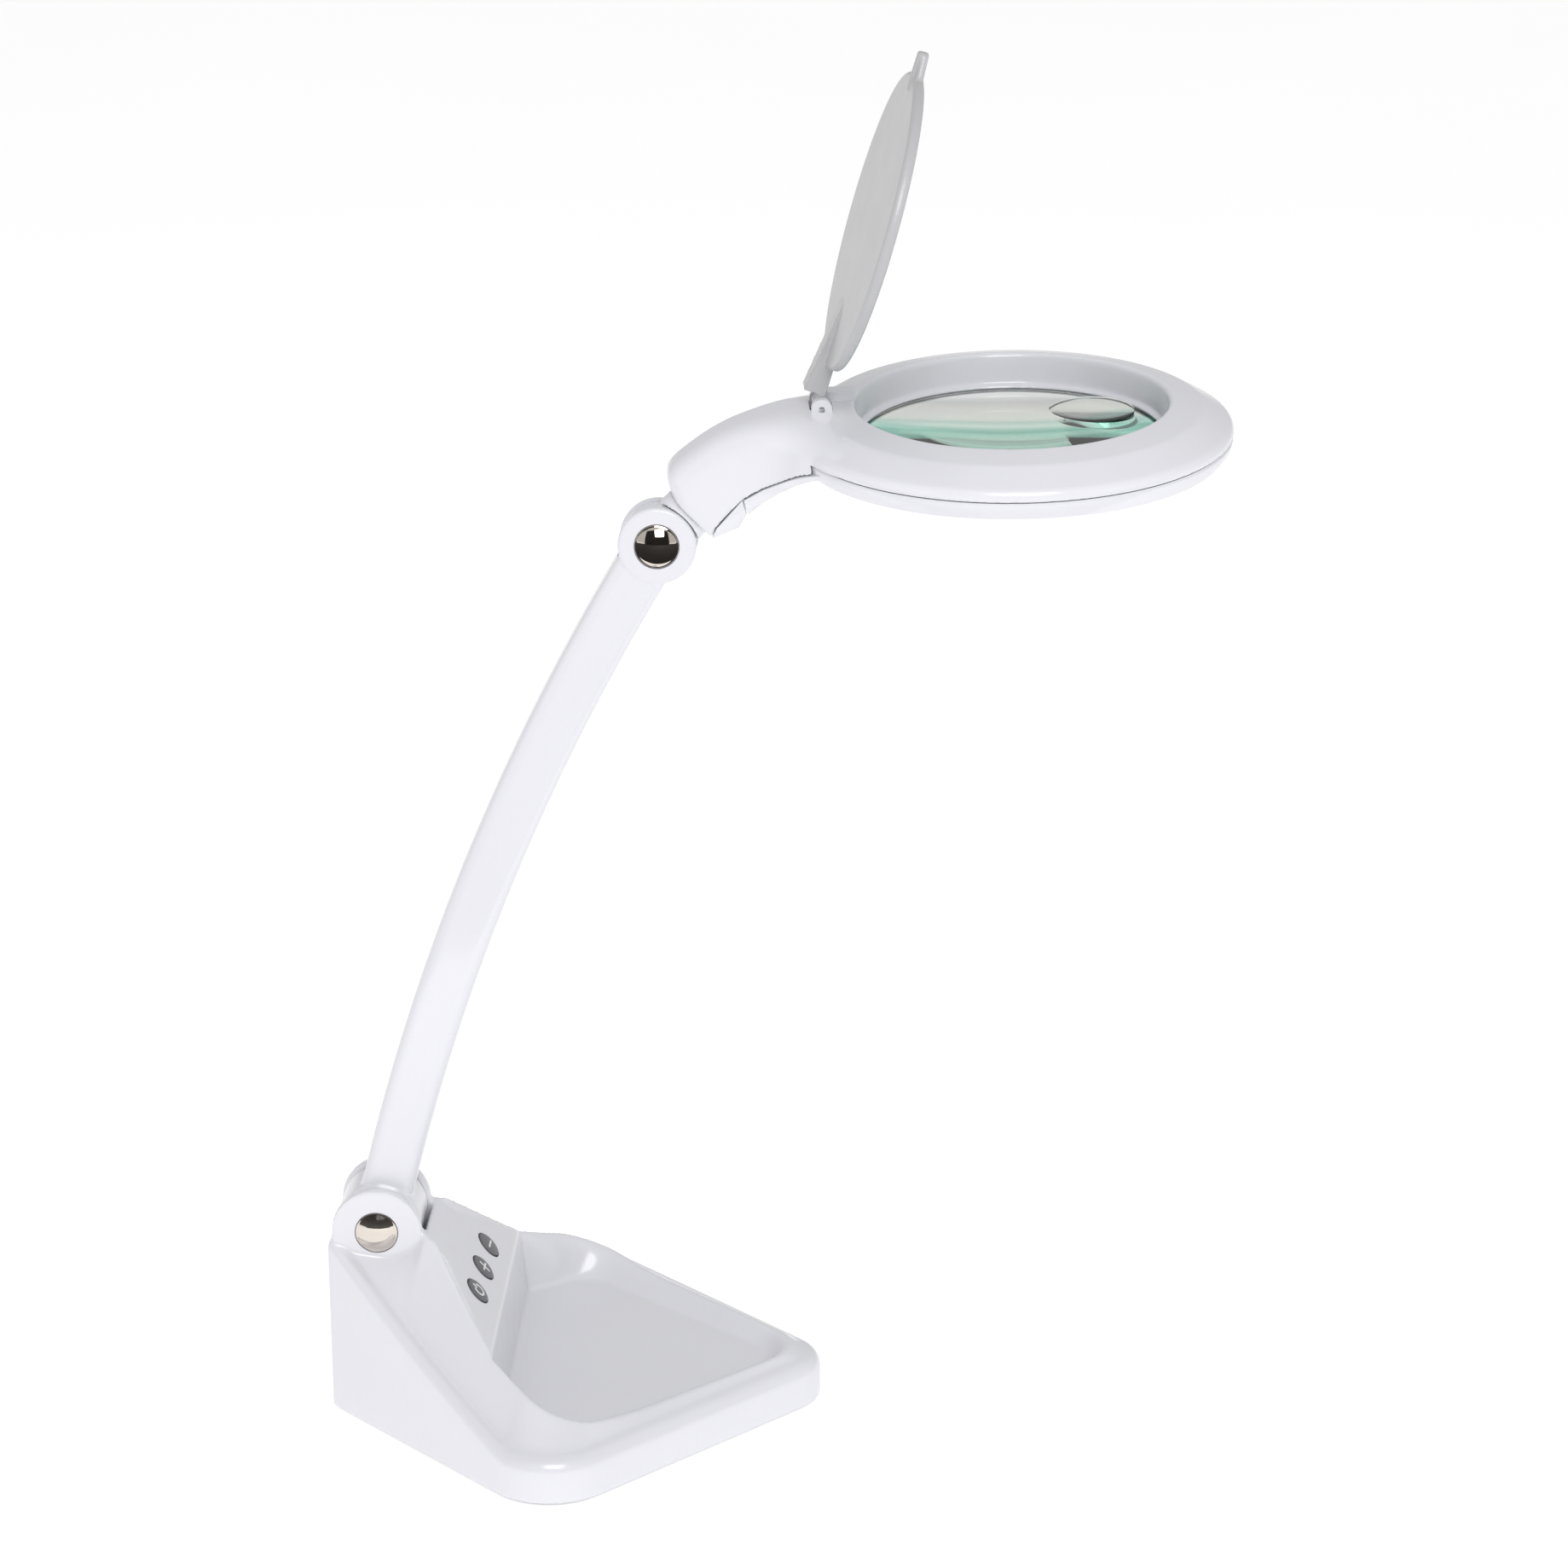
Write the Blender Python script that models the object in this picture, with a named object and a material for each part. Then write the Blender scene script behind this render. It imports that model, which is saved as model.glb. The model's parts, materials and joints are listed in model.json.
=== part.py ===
"""Magnifying desk lamp with a ring of LEDs round its lens, built piece by piece.

Frame: metres, +Z up, the user sits on the -Y side and X runs across the lamp. The origin
is on the desk, straight below the lower hinge. Each moving group of pieces hangs from an
empty that stands on its joint's axis.
"""
import math

import bmesh
import bpy
from mathutils import Matrix, Vector

# Overall sizes
BASE_HALF = 0.0995          # half of the base's diagonal, side corner to centre line
HINGE_HEIGHT = 0.0693       # lower hinge above the desk
ARM_REACH = 0.1014          # upper hinge in front of the lower one
ARM_RISE = 0.2500           # upper hinge above the lower one
ARM_SAGITTA = 0.0109        # how far the arm bows backwards
LENS_RADIUS = 0.0510
HEAD_REACH = 0.1202         # lens centre in front of the upper hinge
HEAD_RISE = 0.0456          # ring crest above the upper hinge

# Clearances
GAP = 0.0003                # between pieces that touch
RUN = 0.0005                # between pieces that move past each other
FOOT_PROUD = 0.0012         # feet below the housing

# Base housing
BACK_HALF = 0.0165          # half width of the column, over its cheeks
BACK_Y = 0.0177
BASE_WALL = 0.0025
EDGE_TURNS = (0.0, math.pi / 6, math.pi / 3)    # stations round the outer edge's rounding
RIM_MIDDLE = 0.5            # half way from the edge to the crest
FALL_TOP = (0.22, 0.12)     # how far in and how far down the crest's fall begins
FALL_FOOT = (0.72, 0.86)    # the same where it runs out into the floor
COLUMN_STEPS = 17
ROUND_STEPS = 28            # facets of the barrel and its slot
HOLE_STEPS = 16
SMALL_STEPS = 12
SCREW_STEPS = 10
EYE_STEPS = 24
CAP_STEPS = 18
LENS_STEPS = 36
BACK_CORNER = 0.0030
SIDE_CORNER = 0.0250
FRONT_CORNER = 0.0180
RIM_FRONT = 0.0180          # height of the rim's outer edge in front
RIM_BACK = 0.0690           # the same where it ends on the column
RIM_LEVEL_Y = -0.0500       # the rim's outer edge starts to climb behind this line
RIM_ROUND = 0.0060
RIM_STRAIGHT = 0.78         # how evenly the edge climbs: 1 is a straight line
CHEEK_DIP_Y = -0.0030       # the wing's slope is lowest here, below the cap
CAP_MARGIN = 0.0012
TRAY_BACK_HALF = 0.0520
TRAY_FLOOR = 0.0150
TRAY_HALF = 0.0640
TRAY_SIDE_Y = -0.0690
TRAY_FRONT_Y = -0.1445
TRAY_CORNER = 0.0140
CREST_SIDE = 0.0810
CREST_SIDE_Y = -0.0680
CREST_FRONT_Y = -0.1540
CREST_HEIGHT = 0.0205
CREST_CORNER = 0.0180
PANEL_TOP_Y = -0.0176
PANEL_TOP_Z = HINGE_HEIGHT
PANEL_FOOT_Y = -0.0440
PANEL_FOOT_Z = 0.0395
PANEL_FOOT_HALF = 0.0535
RISER_LEAN = 0.0030
CHEEK = 0.0046
BARREL_RADIUS = 0.0152
CHEEK_RADIUS = 0.0160
SLOT_CLEARANCE = 0.0012
WASHER = 0.0008
CAP_RADIUS = 0.0075
CAP_SEAT = 0.0010
CAP_DOME = 0.0022

# Bottom plate, ballast, feet and screws
PLATE = 0.0025
BALLAST = 0.0078
BALLAST_HALF = 0.0500
BALLAST_BACK_Y = -0.0520
BALLAST_FRONT_Y = -0.1080
BALLAST_NOSE = 0.0130
BALLAST_SHOULDER = 0.35
FOOT_RADIUS = 0.0065
FOOT_THICK = 0.0026
FOOT_SIDE = 0.0640
FOOT_SIDE_Y = -0.0640
FOOT_FRONT_Y = -0.1350
BOSS_RADIUS = 0.0038
SCREW_RADIUS = 0.0014
SCREW_HEAD_RADIUS = 0.0027
SCREW_HEAD = 0.0018
SCREW_LENGTH = 0.0080
BOSS_PLACES = ((-0.0500, -0.0270, 0.0350), (0.0500, -0.0270, 0.0350),    # x, y and top of each post
               (-0.0200, -0.1190, 0.0138), (0.0200, -0.1190, 0.0138))

# Buttons and their board
BUTTON_RADIUS = 0.0052
BUTTON_PITCH = 0.0195
BUTTON_FROM_TOP = 0.0275    # down the panel from its top edge
BUTTON_PROUD = 0.0005
BUTTON_TRAVEL = 0.0008
BUTTON_FLANGE = 0.0008
BOARD = 0.0016
BOARD_DEPTH = 0.0105
BOARD_SIZE = (0.0560, 0.0150)
SWITCH_SIZE = 0.0060
SWITCH_BODY = 0.0034
PLUNGER = 0.0008
PLUNGER_RADIUS = 0.0017
SOCKET_RADIUS = 0.0042
SOCKET_DEPTH = 0.0110
SOCKET_Z = 0.0180
SOCKET_WALL = 0.0013
SOCKET_PIN = 0.0009

# Hinge hardware
BOLT_RADIUS = 0.0024
BOLT_HEAD_RADIUS = 0.0046
BOLT_HEAD = 0.0018
ARM_BAR_HALF = 0.0012
UPPER_HALF = 0.0085         # half width of the upper hinge over its two discs
UPPER_DISC = 0.0040
UPPER_RADIUS = 0.0133
UPPER_BOLT_RADIUS = 0.0020
UPPER_BOLT_HEAD_RADIUS = 0.0038
UPPER_BOLT_HEAD = 0.0015

# Arm
ARM_DEPTH_LOW = 0.0186
ARM_DEPTH_HIGH = 0.0146
ARM_HALF_LOW = 0.0092
ARM_HALF_HIGH = 0.0062
ARM_WALL = 0.0022
ARM_CORNER = 0.0050
CORNER_LIMIT = 0.95         # a corner's radius never reaches half of its side
ARM_STATIONS = 10
PASSAGE_STATIONS = 7
BAR_STATIONS = 9
WIRE_STEPS = 8
ARM_OVERRUN = 0.0200        # share of its length that the passage starts below the hinge
ARM_BAR_DEPTH = 0.0080
CORE_CLEAR = 0.0020
WIRE_RADIUS = 0.0013
WIRE_HOLE_Y = 0.0060

# Neck joint
SWIVEL_RISE = math.radians(43.6)    # the neck's turning axis above the horizontal
COLLAR_RADIUS = 0.0092
COLLAR_END = 0.0156
COLLAR_STEPS = 20
STEM_RADIUS = 0.0040
STEM_END = 0.0235
CLIP = 0.0010
CLIP_PLACE = 0.0196
NECK_START = COLLAR_END + GAP

# Head
RING_RADIUS = 0.0744
RING_CREST_IN = 0.0526
RING_SHOULDER = 0.0641
RING_SHOULDER_DROP = 0.0023
RING_PARTING_DROP = 0.0117
HEAD_WALL = 0.0022
RECESS_DEPTH = 0.0112
LIP_WIDTH = 0.0018
LIP_THICK = 0.0012
RECESS_DRAFT = 0.0006       # the recess narrows by this much to its lip
LIP_IN = RING_CREST_IN - LIP_WIDTH - RECESS_DRAFT
CREST_EASE = 0.0008
RIM_EDGE = 0.0009
CREST_WALL = 1.4            # thickness below the crest, in wall thicknesses
SHOULDER_WALL = (0.3, 1.1)  # the hollow's corner in from the shoulder, and below it
BAND_HEIGHT = 0.0062
BAND_TAPER = 0.0026
CHANNEL_IN = 0.0552
CHANNEL_OUT = 0.0690
CHANNEL_DEPTH = 0.0042
CHANNEL_ROOF = 0.0010
CHANNEL_WALL = 0.0012
BAND_BEND = 0.6             # share of the band's height where its side turns upright
DIFFUSER = 0.0012
DRIVER_FORWARD = 0.0345
DRIVER_UP = 0.0300
NECK_END_HALF = 0.0118
NECK_ROWS = (((0.0195, 0.0080), (0.0042, 0.0262), 0.0126),      # forward and up of its lower
             ((0.0240, 0.0130), (0.0138, 0.0344), 0.0132),      # and upper point, half width
             ((0.0290, 0.0180), (0.0240, 0.0402), 0.0138),
             ((0.0355, 0.0220), (0.0345, 0.0438), 0.0155),
             ((0.0415, 0.0252), (0.0430, 0.0456), 0.0188),
             ((0.0465, 0.0282), (0.0485, 0.0460), 0.0232),
             ((0.0515, 0.0308), (0.0535, 0.0460), 0.0292),
             ((0.0565, 0.0330), (0.0590, 0.0456), 0.0366))
COVER_ROWS = 4              # slices of the neck over its own cover; the lower shell has the rest
NECK_ARCH_STEPS = 6
LAST_IN = (2.0, -0.3)       # forward and up of the hollow's end, in wall thicknesses
SETBACK = 1.2               # of the hollow from the neck's end, in wall thicknesses
NECK_SQUARE = 0.62          # below 1 the neck's arch is squarer than round
NECK_SOFT = 1.05            # the same where the neck is widest
NECK_NARROW = 0.0150        # half widths between which the arch gets rounder
NECK_WIDE = 0.0340
NECK_SHOULDER = 0.35
NECK_TRAY_DEEP = 0.0072
NECK_TRAY_SHALLOW = 0.0036
TRAY_LEAN = 0.3             # how far the tray's sides lean in, as a share of its depth
COVER_KEEL = 0.75           # width of the cover's underside as a share of its top
DRIVER_HALF = (0.0080, 0.0100)
NECK_COVER_DEPTH = (0.0010, 0.0048, 0.0078, 0.0076)
LENS_EDGE = 0.0030
LENS_SAG = 0.0036
LENS_MIDDLE = HEAD_RISE - RECESS_DEPTH - LIP_THICK - GAP - LENS_EDGE / 2
INSERT_RADIUS = 0.0145
INSERT_X = 0.0170
INSERT_Y = -0.0290          # from the lens centre
INSERT_SAG = 0.0016
INSERT_EDGE = 0.0026

# Lid
LID_RADIUS = 0.0505
LID_THICK = 0.0038
LID_BACK = 0.0642           # hinge behind the lid's centre
LID_HINGE_UP = 0.0010       # hinge above the crest
LID_TAB = 0.0058
LID_STRAP_HALF = 0.0048
LID_BARREL = 0.0030
LID_PIN = 0.0011
LUG = 0.0028
LUG_ROOT = 1.3              # how far an ear reaches into the shell, in its radii
LUG_STEPS = 9
LID_LOW = 0.2               # share of the lid's thickness below its hinge
LID_EASE_LOW = 0.0012
LID_EASE_HIGH = 0.0015
LID_CROWN = (0.6, 0.0003)   # where the outer face turns flat, and how far the edge drops
STRAP_START = 0.9           # share of the lid's radius where the strap begins
STRAP_IN = 0.0006
TAB_HALF = 0.0085
TAB_TIP_HALF = 0.0020
TAB_ROOT = 1.6

# How the lamp stands at rest
TILT_REST = math.radians(-1.33)
SWIVEL_REST = math.radians(6.41)
LID_REST = math.radians(-72.3)

LEFT, RIGHT = -1, 1
RING_STEPS = 40
SHALLOW_JOINTS = {"base_housing", "arm_sleeve", "head_knuckle", "head_top_shell",
                  "head_bottom_shell"}
COLLECTION = bpy.context.scene.collection


# ---------------------------------------------------------------- helpers
def clear_scene():
    for old in list(bpy.data.objects):
        bpy.data.objects.remove(old, do_unlink=True)


def material(name, colour, roughness, metallic=0.0, transmission=0.0):
    made = bpy.data.materials.get(name)
    if made:
        return made
    made = bpy.data.materials.new(name)
    made.use_nodes = True
    shader = made.node_tree.nodes["Principled BSDF"]
    shader.inputs["Base Color"].default_value = (*colour, 1.0)
    shader.inputs["Roughness"].default_value = roughness
    shader.inputs["Metallic"].default_value = metallic
    shader.inputs["Transmission Weight"].default_value = transmission
    return made


def white_plastic():
    return material("white_plastic", (0.88, 0.88, 0.91), 0.25)


def steel():
    return material("zinc_steel", (0.62, 0.63, 0.65), 0.35, 1.0)


def chrome():
    return material("chrome", (0.85, 0.85, 0.86), 0.06, 1.0)


def rubber():
    return material("black_rubber", (0.03, 0.03, 0.03), 0.8)


def board_green():
    return material("circuit_board", (0.03, 0.22, 0.09), 0.5)


def grey_plastic():
    return material("grey_plastic", (0.13, 0.13, 0.14), 0.45)


def empty(name, place, parent=None, turn=None):
    made = bpy.data.objects.new(name, None)
    COLLECTION.objects.link(made)
    made.parent = parent
    made.location = place
    if turn is not None:
        made.rotation_mode = "QUATERNION"
        made.rotation_quaternion = turn
    return made


def add_object(name, bm, finish, parent=None):
    bmesh.ops.recalc_face_normals(bm, faces=bm.faces)
    mesh = bpy.data.meshes.new(name)
    bm.to_mesh(mesh)
    bm.free()
    if finish:
        mesh.materials.append(finish)
    made = bpy.data.objects.new(name, mesh)
    COLLECTION.objects.link(made)
    made.parent = parent
    mesh.shade_smooth()
    mesh.set_sharp_from_angle(angle=math.radians(35))
    return made


def lofted(loops, closed=False):
    """Skin a row of loops that have the same number of points. Ends are capped."""
    bm = bmesh.new()
    rows = [[bm.verts.new(p) for p in loop] for loop in loops]
    count = len(rows[0])
    pairs = list(zip(rows, rows[1:]))
    if closed:
        pairs.append((rows[-1], rows[0]))
    for low, high in pairs:
        for i in range(count):
            j = (i + 1) % count
            bm.faces.new((low[i], low[j], high[j], high[i]))
    if not closed:
        bm.faces.new(rows[0])
        bm.faces.new(rows[-1])
    return bm


def turned(profile, steps=20):
    """Turn a closed (radius, height) outline round Z. A radius of zero is a pole."""
    bm = bmesh.new()
    rows = []
    for radius, height in profile:
        if radius < 1e-7:
            rows.append([bm.verts.new((0, 0, height))] * steps)
        else:
            angles = (math.tau * i / steps for i in range(steps))
            rows.append([bm.verts.new((radius * math.cos(a), radius * math.sin(a), height))
                         for a in angles])
    for low, high in zip(rows, rows[1:] + rows[:1]):
        for i in range(steps):
            j = (i + 1) % steps
            corners = []
            for v in (low[i], low[j], high[j], high[i]):
                if v not in corners:
                    corners.append(v)
            if len(corners) > 2:
                bm.faces.new(corners)
    return bm


def extruded(outline, low, high, axis="Z"):
    """A straight prism: the outline's two numbers are the other axes in order."""
    def at(p, h):
        if axis == "X":
            return (h, p[0], p[1])
        return (p[0], p[1], h)
    return lofted([[at(p, low) for p in outline], [at(p, high) for p in outline]])


def box(low, high):
    outline = ((low[0], low[1]), (high[0], low[1]), (high[0], high[1]), (low[0], high[1]))
    return extruded(outline, low[2], high[2])


def disc(radius, low, high, steps=16):
    return turned(((0, low), (radius, low), (radius, high), (0, high)), steps)


def tube(inner, outer, low, high, steps=RING_STEPS):
    return turned(((inner, low), (outer, low), (outer, high), (inner, high)), steps)


def moved(bm, matrix):
    bmesh.ops.transform(bm, matrix=matrix, verts=bm.verts)
    return bm


def across(x=0.0, y=0.0, z=0.0, side=RIGHT):
    """Turns a Z-axis shape to lie along X, pointing to the given side."""
    return Matrix.Translation((x, y, z)) @ Matrix.Rotation(side * math.pi / 2, 4, "Y")


def cut(target, bm, parent=None, operation="DIFFERENCE", name="cutter"):
    """Boolean by modifier. Shells whose walls meet at shallow angles need MANIFOLD."""
    tool = add_object(name, bm, None, parent)
    tool.hide_render = True
    tool.display_type = "WIRE"
    tool.hide_set(True)
    step = target.modifiers.new(name, "BOOLEAN")
    step.operation = operation
    step.solver = "MANIFOLD" if target.name in SHALLOW_JOINTS else "EXACT"
    step.object = tool
    return tool


def join(target, bm, parent=None):
    return cut(target, bm, parent, "UNION", "joined")


def arc(centre, radius, start, end, count):
    """Points on an arc, angles in degrees, both ends included."""
    angles = (math.radians(start + (end - start) * i / (count - 1)) for i in range(count))
    return [(centre[0] + radius * math.cos(a), centre[1] + radius * math.sin(a))
            for a in angles]


def mix(a, b, t):
    return a + (b - a) * t


def smooth(t):
    t = min(max(t, 0.0), 1.0)
    return t * t * (3 - 2 * t)


def dome(radius, height, base, steps=3):
    """Outline of a domed cap from its rim to its pole."""
    return [(radius * math.cos(a), base + height * math.sin(a))
            for a in (math.pi / 2 * i / steps for i in range(steps + 1))]


# ---------------------------------------------------------------- base housing
SIDE_Y = BACK_Y - (BASE_HALF - BACK_HALF)
FRONT_Y = SIDE_Y - BASE_HALF
SQ2 = math.sqrt(2)
BACK_STATIONS = 3
CORNER_STATIONS = 3
CHEEK_STATIONS = 6
PANEL_STATIONS = 4
WING_STATIONS = 3
SIDE_STATIONS = 7
FRONT_STATIONS = 1
NOSE_STATIONS = 4
TUCK = 0.0009               # how far a joined shape reaches into its neighbour


def between(a, b, t):
    return tuple(mix(p, q, t) for p, q in zip(a, b))


def spread(a, b, count):
    """Points strictly between two places."""
    return [between(a, b, i / (count + 1)) for i in range(1, count + 1)]


def rounded_corner(before, corner, after, radius, count):
    """Arc that rounds a corner of a left-turning path, tangent to both of its lines."""
    corner = Vector(corner)
    to_before = (Vector(before) - corner).normalized()
    to_after = (Vector(after) - corner).normalized()
    half = to_before.angle(to_after) / 2
    middle = corner + (to_before + to_after).normalized() * radius / math.sin(half)
    start = corner + to_before * radius / math.tan(half) - middle
    end = corner + to_after * radius / math.tan(half) - middle
    first = math.atan2(start.y, start.x)
    sweep = (math.atan2(end.y, end.x) - first) % math.tau
    angles = (first + sweep * i / (count - 1) for i in range(count))
    return [(middle.x + radius * math.cos(a), middle.y + radius * math.sin(a)) for a in angles]


def outline_half(inset):
    """Half of the base's plan, from the middle of its back, left about, to the front corner."""
    back_centre = (-BACK_HALF + BACK_CORNER * math.tan(math.pi / 8), BACK_Y - BACK_CORNER)
    side_centre = (-BASE_HALF + SIDE_CORNER * SQ2, SIDE_Y)
    nose_centre = (0.0, FRONT_Y + FRONT_CORNER * SQ2)
    back_arc = arc(back_centre, BACK_CORNER - inset, 90, 135, CORNER_STATIONS)
    side_arc = arc(side_centre, SIDE_CORNER - inset, 135, 225, SIDE_STATIONS)
    nose_arc = arc(nose_centre, FRONT_CORNER - inset, 225, 270, NOSE_STATIONS)
    middle = (0.0, back_arc[0][1])
    wing = CHEEK_STATIONS + PANEL_STATIONS + WING_STATIONS
    return ([middle] + spread(middle, back_arc[0], BACK_STATIONS - 1) + back_arc
            + spread(back_arc[-1], side_arc[0], wing) + side_arc
            + spread(side_arc[-1], nose_arc[0], FRONT_STATIONS) + nose_arc)


def panel_height(y):
    t = (y - PANEL_TOP_Y) / (PANEL_FOOT_Y - PANEL_TOP_Y)
    return mix(PANEL_TOP_Z, PANEL_FOOT_Z, t)


def panel_half(y):
    """Half width of the control panel, out to the wing's crest."""
    t = (y - PANEL_TOP_Y) / (PANEL_FOOT_Y - PANEL_TOP_Y)
    return mix(BACK_HALF, PANEL_FOOT_HALF, min(max(t, 0.0), 1.0))


def rim_height(y):
    """Height of the housing's outer edge: level in front, climbing to the column."""
    t = max(0.0, (y - RIM_LEVEL_Y) / (BACK_Y - RIM_LEVEL_Y))
    return mix(RIM_FRONT, RIM_BACK, RIM_STRAIGHT * t + (1 - RIM_STRAIGHT) * t * t)


def cheek_foot(y):
    """Where the wing's slope meets the cheek. It dips to pass below the cap."""
    low = HINGE_HEIGHT - CAP_RADIUS - CAP_MARGIN
    end, height = (BACK_Y, RIM_BACK) if y > CHEEK_DIP_Y else (PANEL_TOP_Y, PANEL_TOP_Z)
    t = (y - CHEEK_DIP_Y) / (end - CHEEK_DIP_Y)
    return mix(low, height, t * t)


def crest_half(down=0.0):
    """The inner edge of rim and wings, with the outline's stations."""
    inner_x = BACK_HALF - TUCK
    start = (-inner_x, BACK_Y - RIM_ROUND - TUCK)
    top = (-BACK_HALF, PANEL_TOP_Y)
    foot = (-PANEL_FOOT_HALF, PANEL_FOOT_Y)
    corner = (-CREST_SIDE, CREST_SIDE_Y)
    nose = (0.0, CREST_FRONT_Y)
    side_arc = rounded_corner(foot, corner, nose, CREST_CORNER, SIDE_STATIONS)
    nose_arc = rounded_corner(corner, nose, (CREST_SIDE, CREST_SIDE_Y), CREST_CORNER,
                              2 * NOSE_STATIONS - 1)[:NOSE_STATIONS]
    back = [(mix(0, -inner_x, i / (BACK_STATIONS + CORNER_STATIONS - 1)), start[1])
            for i in range(BACK_STATIONS + CORNER_STATIONS)]
    cheek = [between(start, (-inner_x, PANEL_TOP_Y), i / CHEEK_STATIONS)
             for i in range(1, CHEEK_STATIONS)]
    panel = [between(top, foot, i / PANEL_STATIONS) for i in range(PANEL_STATIONS + 1)]
    wing = spread(foot, side_arc[0], WING_STATIONS)
    rim = side_arc + spread(side_arc[-1], nose_arc[0], FRONT_STATIONS) + nose_arc

    points = [(x, y, cheek_foot(y)) for x, y in back + cheek]
    points += [(x, y, panel_height(y)) for x, y in panel]
    for x, y in wing + rim:
        t = smooth((PANEL_FOOT_Y - y) / (PANEL_FOOT_Y - CREST_SIDE_Y))
        points.append((x, y, mix(PANEL_FOOT_Z, CREST_HEIGHT, t)))
    return [(x, y, z - down) for x, y, z in points]


def tray_half(out, height):
    """The tray floor's edge, moved out by a distance. Its back runs under the panel."""
    foot = (-TRAY_BACK_HALF - out, PANEL_FOOT_Y - RISER_LEAN)
    corner = (-TRAY_HALF - out, TRAY_SIDE_Y)
    nose = (0.0, TRAY_FRONT_Y - out)
    side_arc = rounded_corner(foot, corner, nose, TRAY_CORNER, SIDE_STATIONS)
    nose_arc = rounded_corner(corner, nose, (TRAY_HALF + out, TRAY_SIDE_Y), TRAY_CORNER,
                              2 * NOSE_STATIONS - 1)[:NOSE_STATIONS]
    hidden = BACK_STATIONS + CORNER_STATIONS + CHEEK_STATIONS + PANEL_STATIONS
    points = [(mix(0, foot[0], i / (hidden - 1)), foot[1] + TUCK) for i in range(hidden)]
    points += spread(foot, side_arc[0], WING_STATIONS) + side_arc
    points += spread(side_arc[-1], nose_arc[0], FRONT_STATIONS) + nose_arc
    return [(x, y, height) for x, y in points]


def whole(half):
    """Mirror half a loop into a whole one."""
    return half + [(-x, y, z) for x, y, z in reversed(half[1:-1])]


def rim_loop(inset, drop):
    return whole([(x, y, rim_height(y) - drop) for x, y in outline_half(inset)])


def flat_loop(inset, height):
    return whole([(x, y, height) for x, y in outline_half(inset)])


def eased(low, high, t, lift):
    """A loop between two others, lifted by a share of their difference in height."""
    return [(mix(a[0], b[0], t), mix(a[1], b[1], t), mix(a[2], b[2], lift))
            for a, b in zip(low, high)]


def base_skin():
    """Rim, wings and tray: loops from the bottom edge, over the crest, to the floor."""
    crest = whole(crest_half())
    floor = whole(tray_half(0.0, TRAY_FLOOR))
    edge = rim_loop(RIM_ROUND, 0.0)
    rounding = [rim_loop(RIM_ROUND * (1 - math.cos(a)), RIM_ROUND * (1 - math.sin(a)))
                for a in EDGE_TURNS]
    return ([flat_loop(0.0, FOOT_PROUD)] + rounding
            + [edge, eased(edge, crest, RIM_MIDDLE, RIM_MIDDLE), crest, eased(crest, floor, *FALL_TOP),
               eased(crest, floor, *FALL_FOOT), floor])


def base_hollow():
    """The space inside rim and wings, one wall thickness in."""
    drop = BASE_WALL + RIM_ROUND
    crest = whole(crest_half(down=2 * BASE_WALL))
    return [flat_loop(BASE_WALL, 0.0), rim_loop(BASE_WALL, drop),
            rim_loop(BASE_WALL + RIM_ROUND / 2, drop - RIM_ROUND / 3), crest,
            whole(tray_half(BASE_WALL, TRAY_FLOOR - BASE_WALL))]


def column_outline():
    back = BACK_Y - TUCK
    low = PANEL_FOOT_Z
    top = arc((0.0, HINGE_HEIGHT), CHEEK_RADIUS, 0, 180, COLUMN_STEPS)
    return [(back, low)] + top + [(top[-1][0], low)]


def wedge(low, lower, inset, out):
    """The block under the control panel, as slices across the lamp."""
    foot_y = PANEL_FOOT_Y + inset
    foot_half = panel_half(foot_y) - TUCK + out
    slices = ((PANEL_TOP_Y + BARREL_RADIUS, PANEL_FOOT_Z, BACK_HALF - TUCK),
              (PANEL_TOP_Y, PANEL_TOP_Z - lower, BACK_HALF - TUCK + out),
              (foot_y, panel_height(foot_y) - lower, foot_half),
              (foot_y - RISER_LEAN, TRAY_FLOOR - BASE_WALL - lower / 2, foot_half))
    return lofted([((-half, y, low), (half, y, low), (half, y, top), (-half, y, top))
                   for y, top, half in slices])


def at_bosses(radius, low, high=None, steps=12):
    """A cylinder at each screw post. It reaches the post's own top if high isn't given."""
    return [moved(disc(radius, low, high or top, steps), Matrix.Translation((x, y, 0)))
            for x, y, top in BOSS_PLACES]


SLOT_HALF = BACK_HALF - CHEEK
SLOT_RADIUS = BARREL_RADIUS + SLOT_CLEARANCE
HINGE = Vector((0, 0, HINGE_HEIGHT))
PANEL_DOWN = Vector((0, PANEL_FOOT_Y - PANEL_TOP_Y, PANEL_FOOT_Z - PANEL_TOP_Z)).normalized()
PANEL_OUT = Vector((0, PANEL_DOWN.z, -PANEL_DOWN.y))
PANEL_SLOPE = math.atan2(-PANEL_OUT.y, PANEL_OUT.z)
PLATE_TOP = FOOT_PROUD + PLATE


def panel_place(x, depth):
    """A point straight behind the panel's face on the row of buttons."""
    row = Vector((x, PANEL_TOP_Y, PANEL_TOP_Z)) + PANEL_DOWN * BUTTON_FROM_TOP
    return row - PANEL_OUT * depth


def panel_matrix(x, depth=0.0):
    """Local Z points out of the control panel."""
    return Matrix.Translation(panel_place(x, depth)) @ Matrix.Rotation(PANEL_SLOPE, 4, "X")


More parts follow.
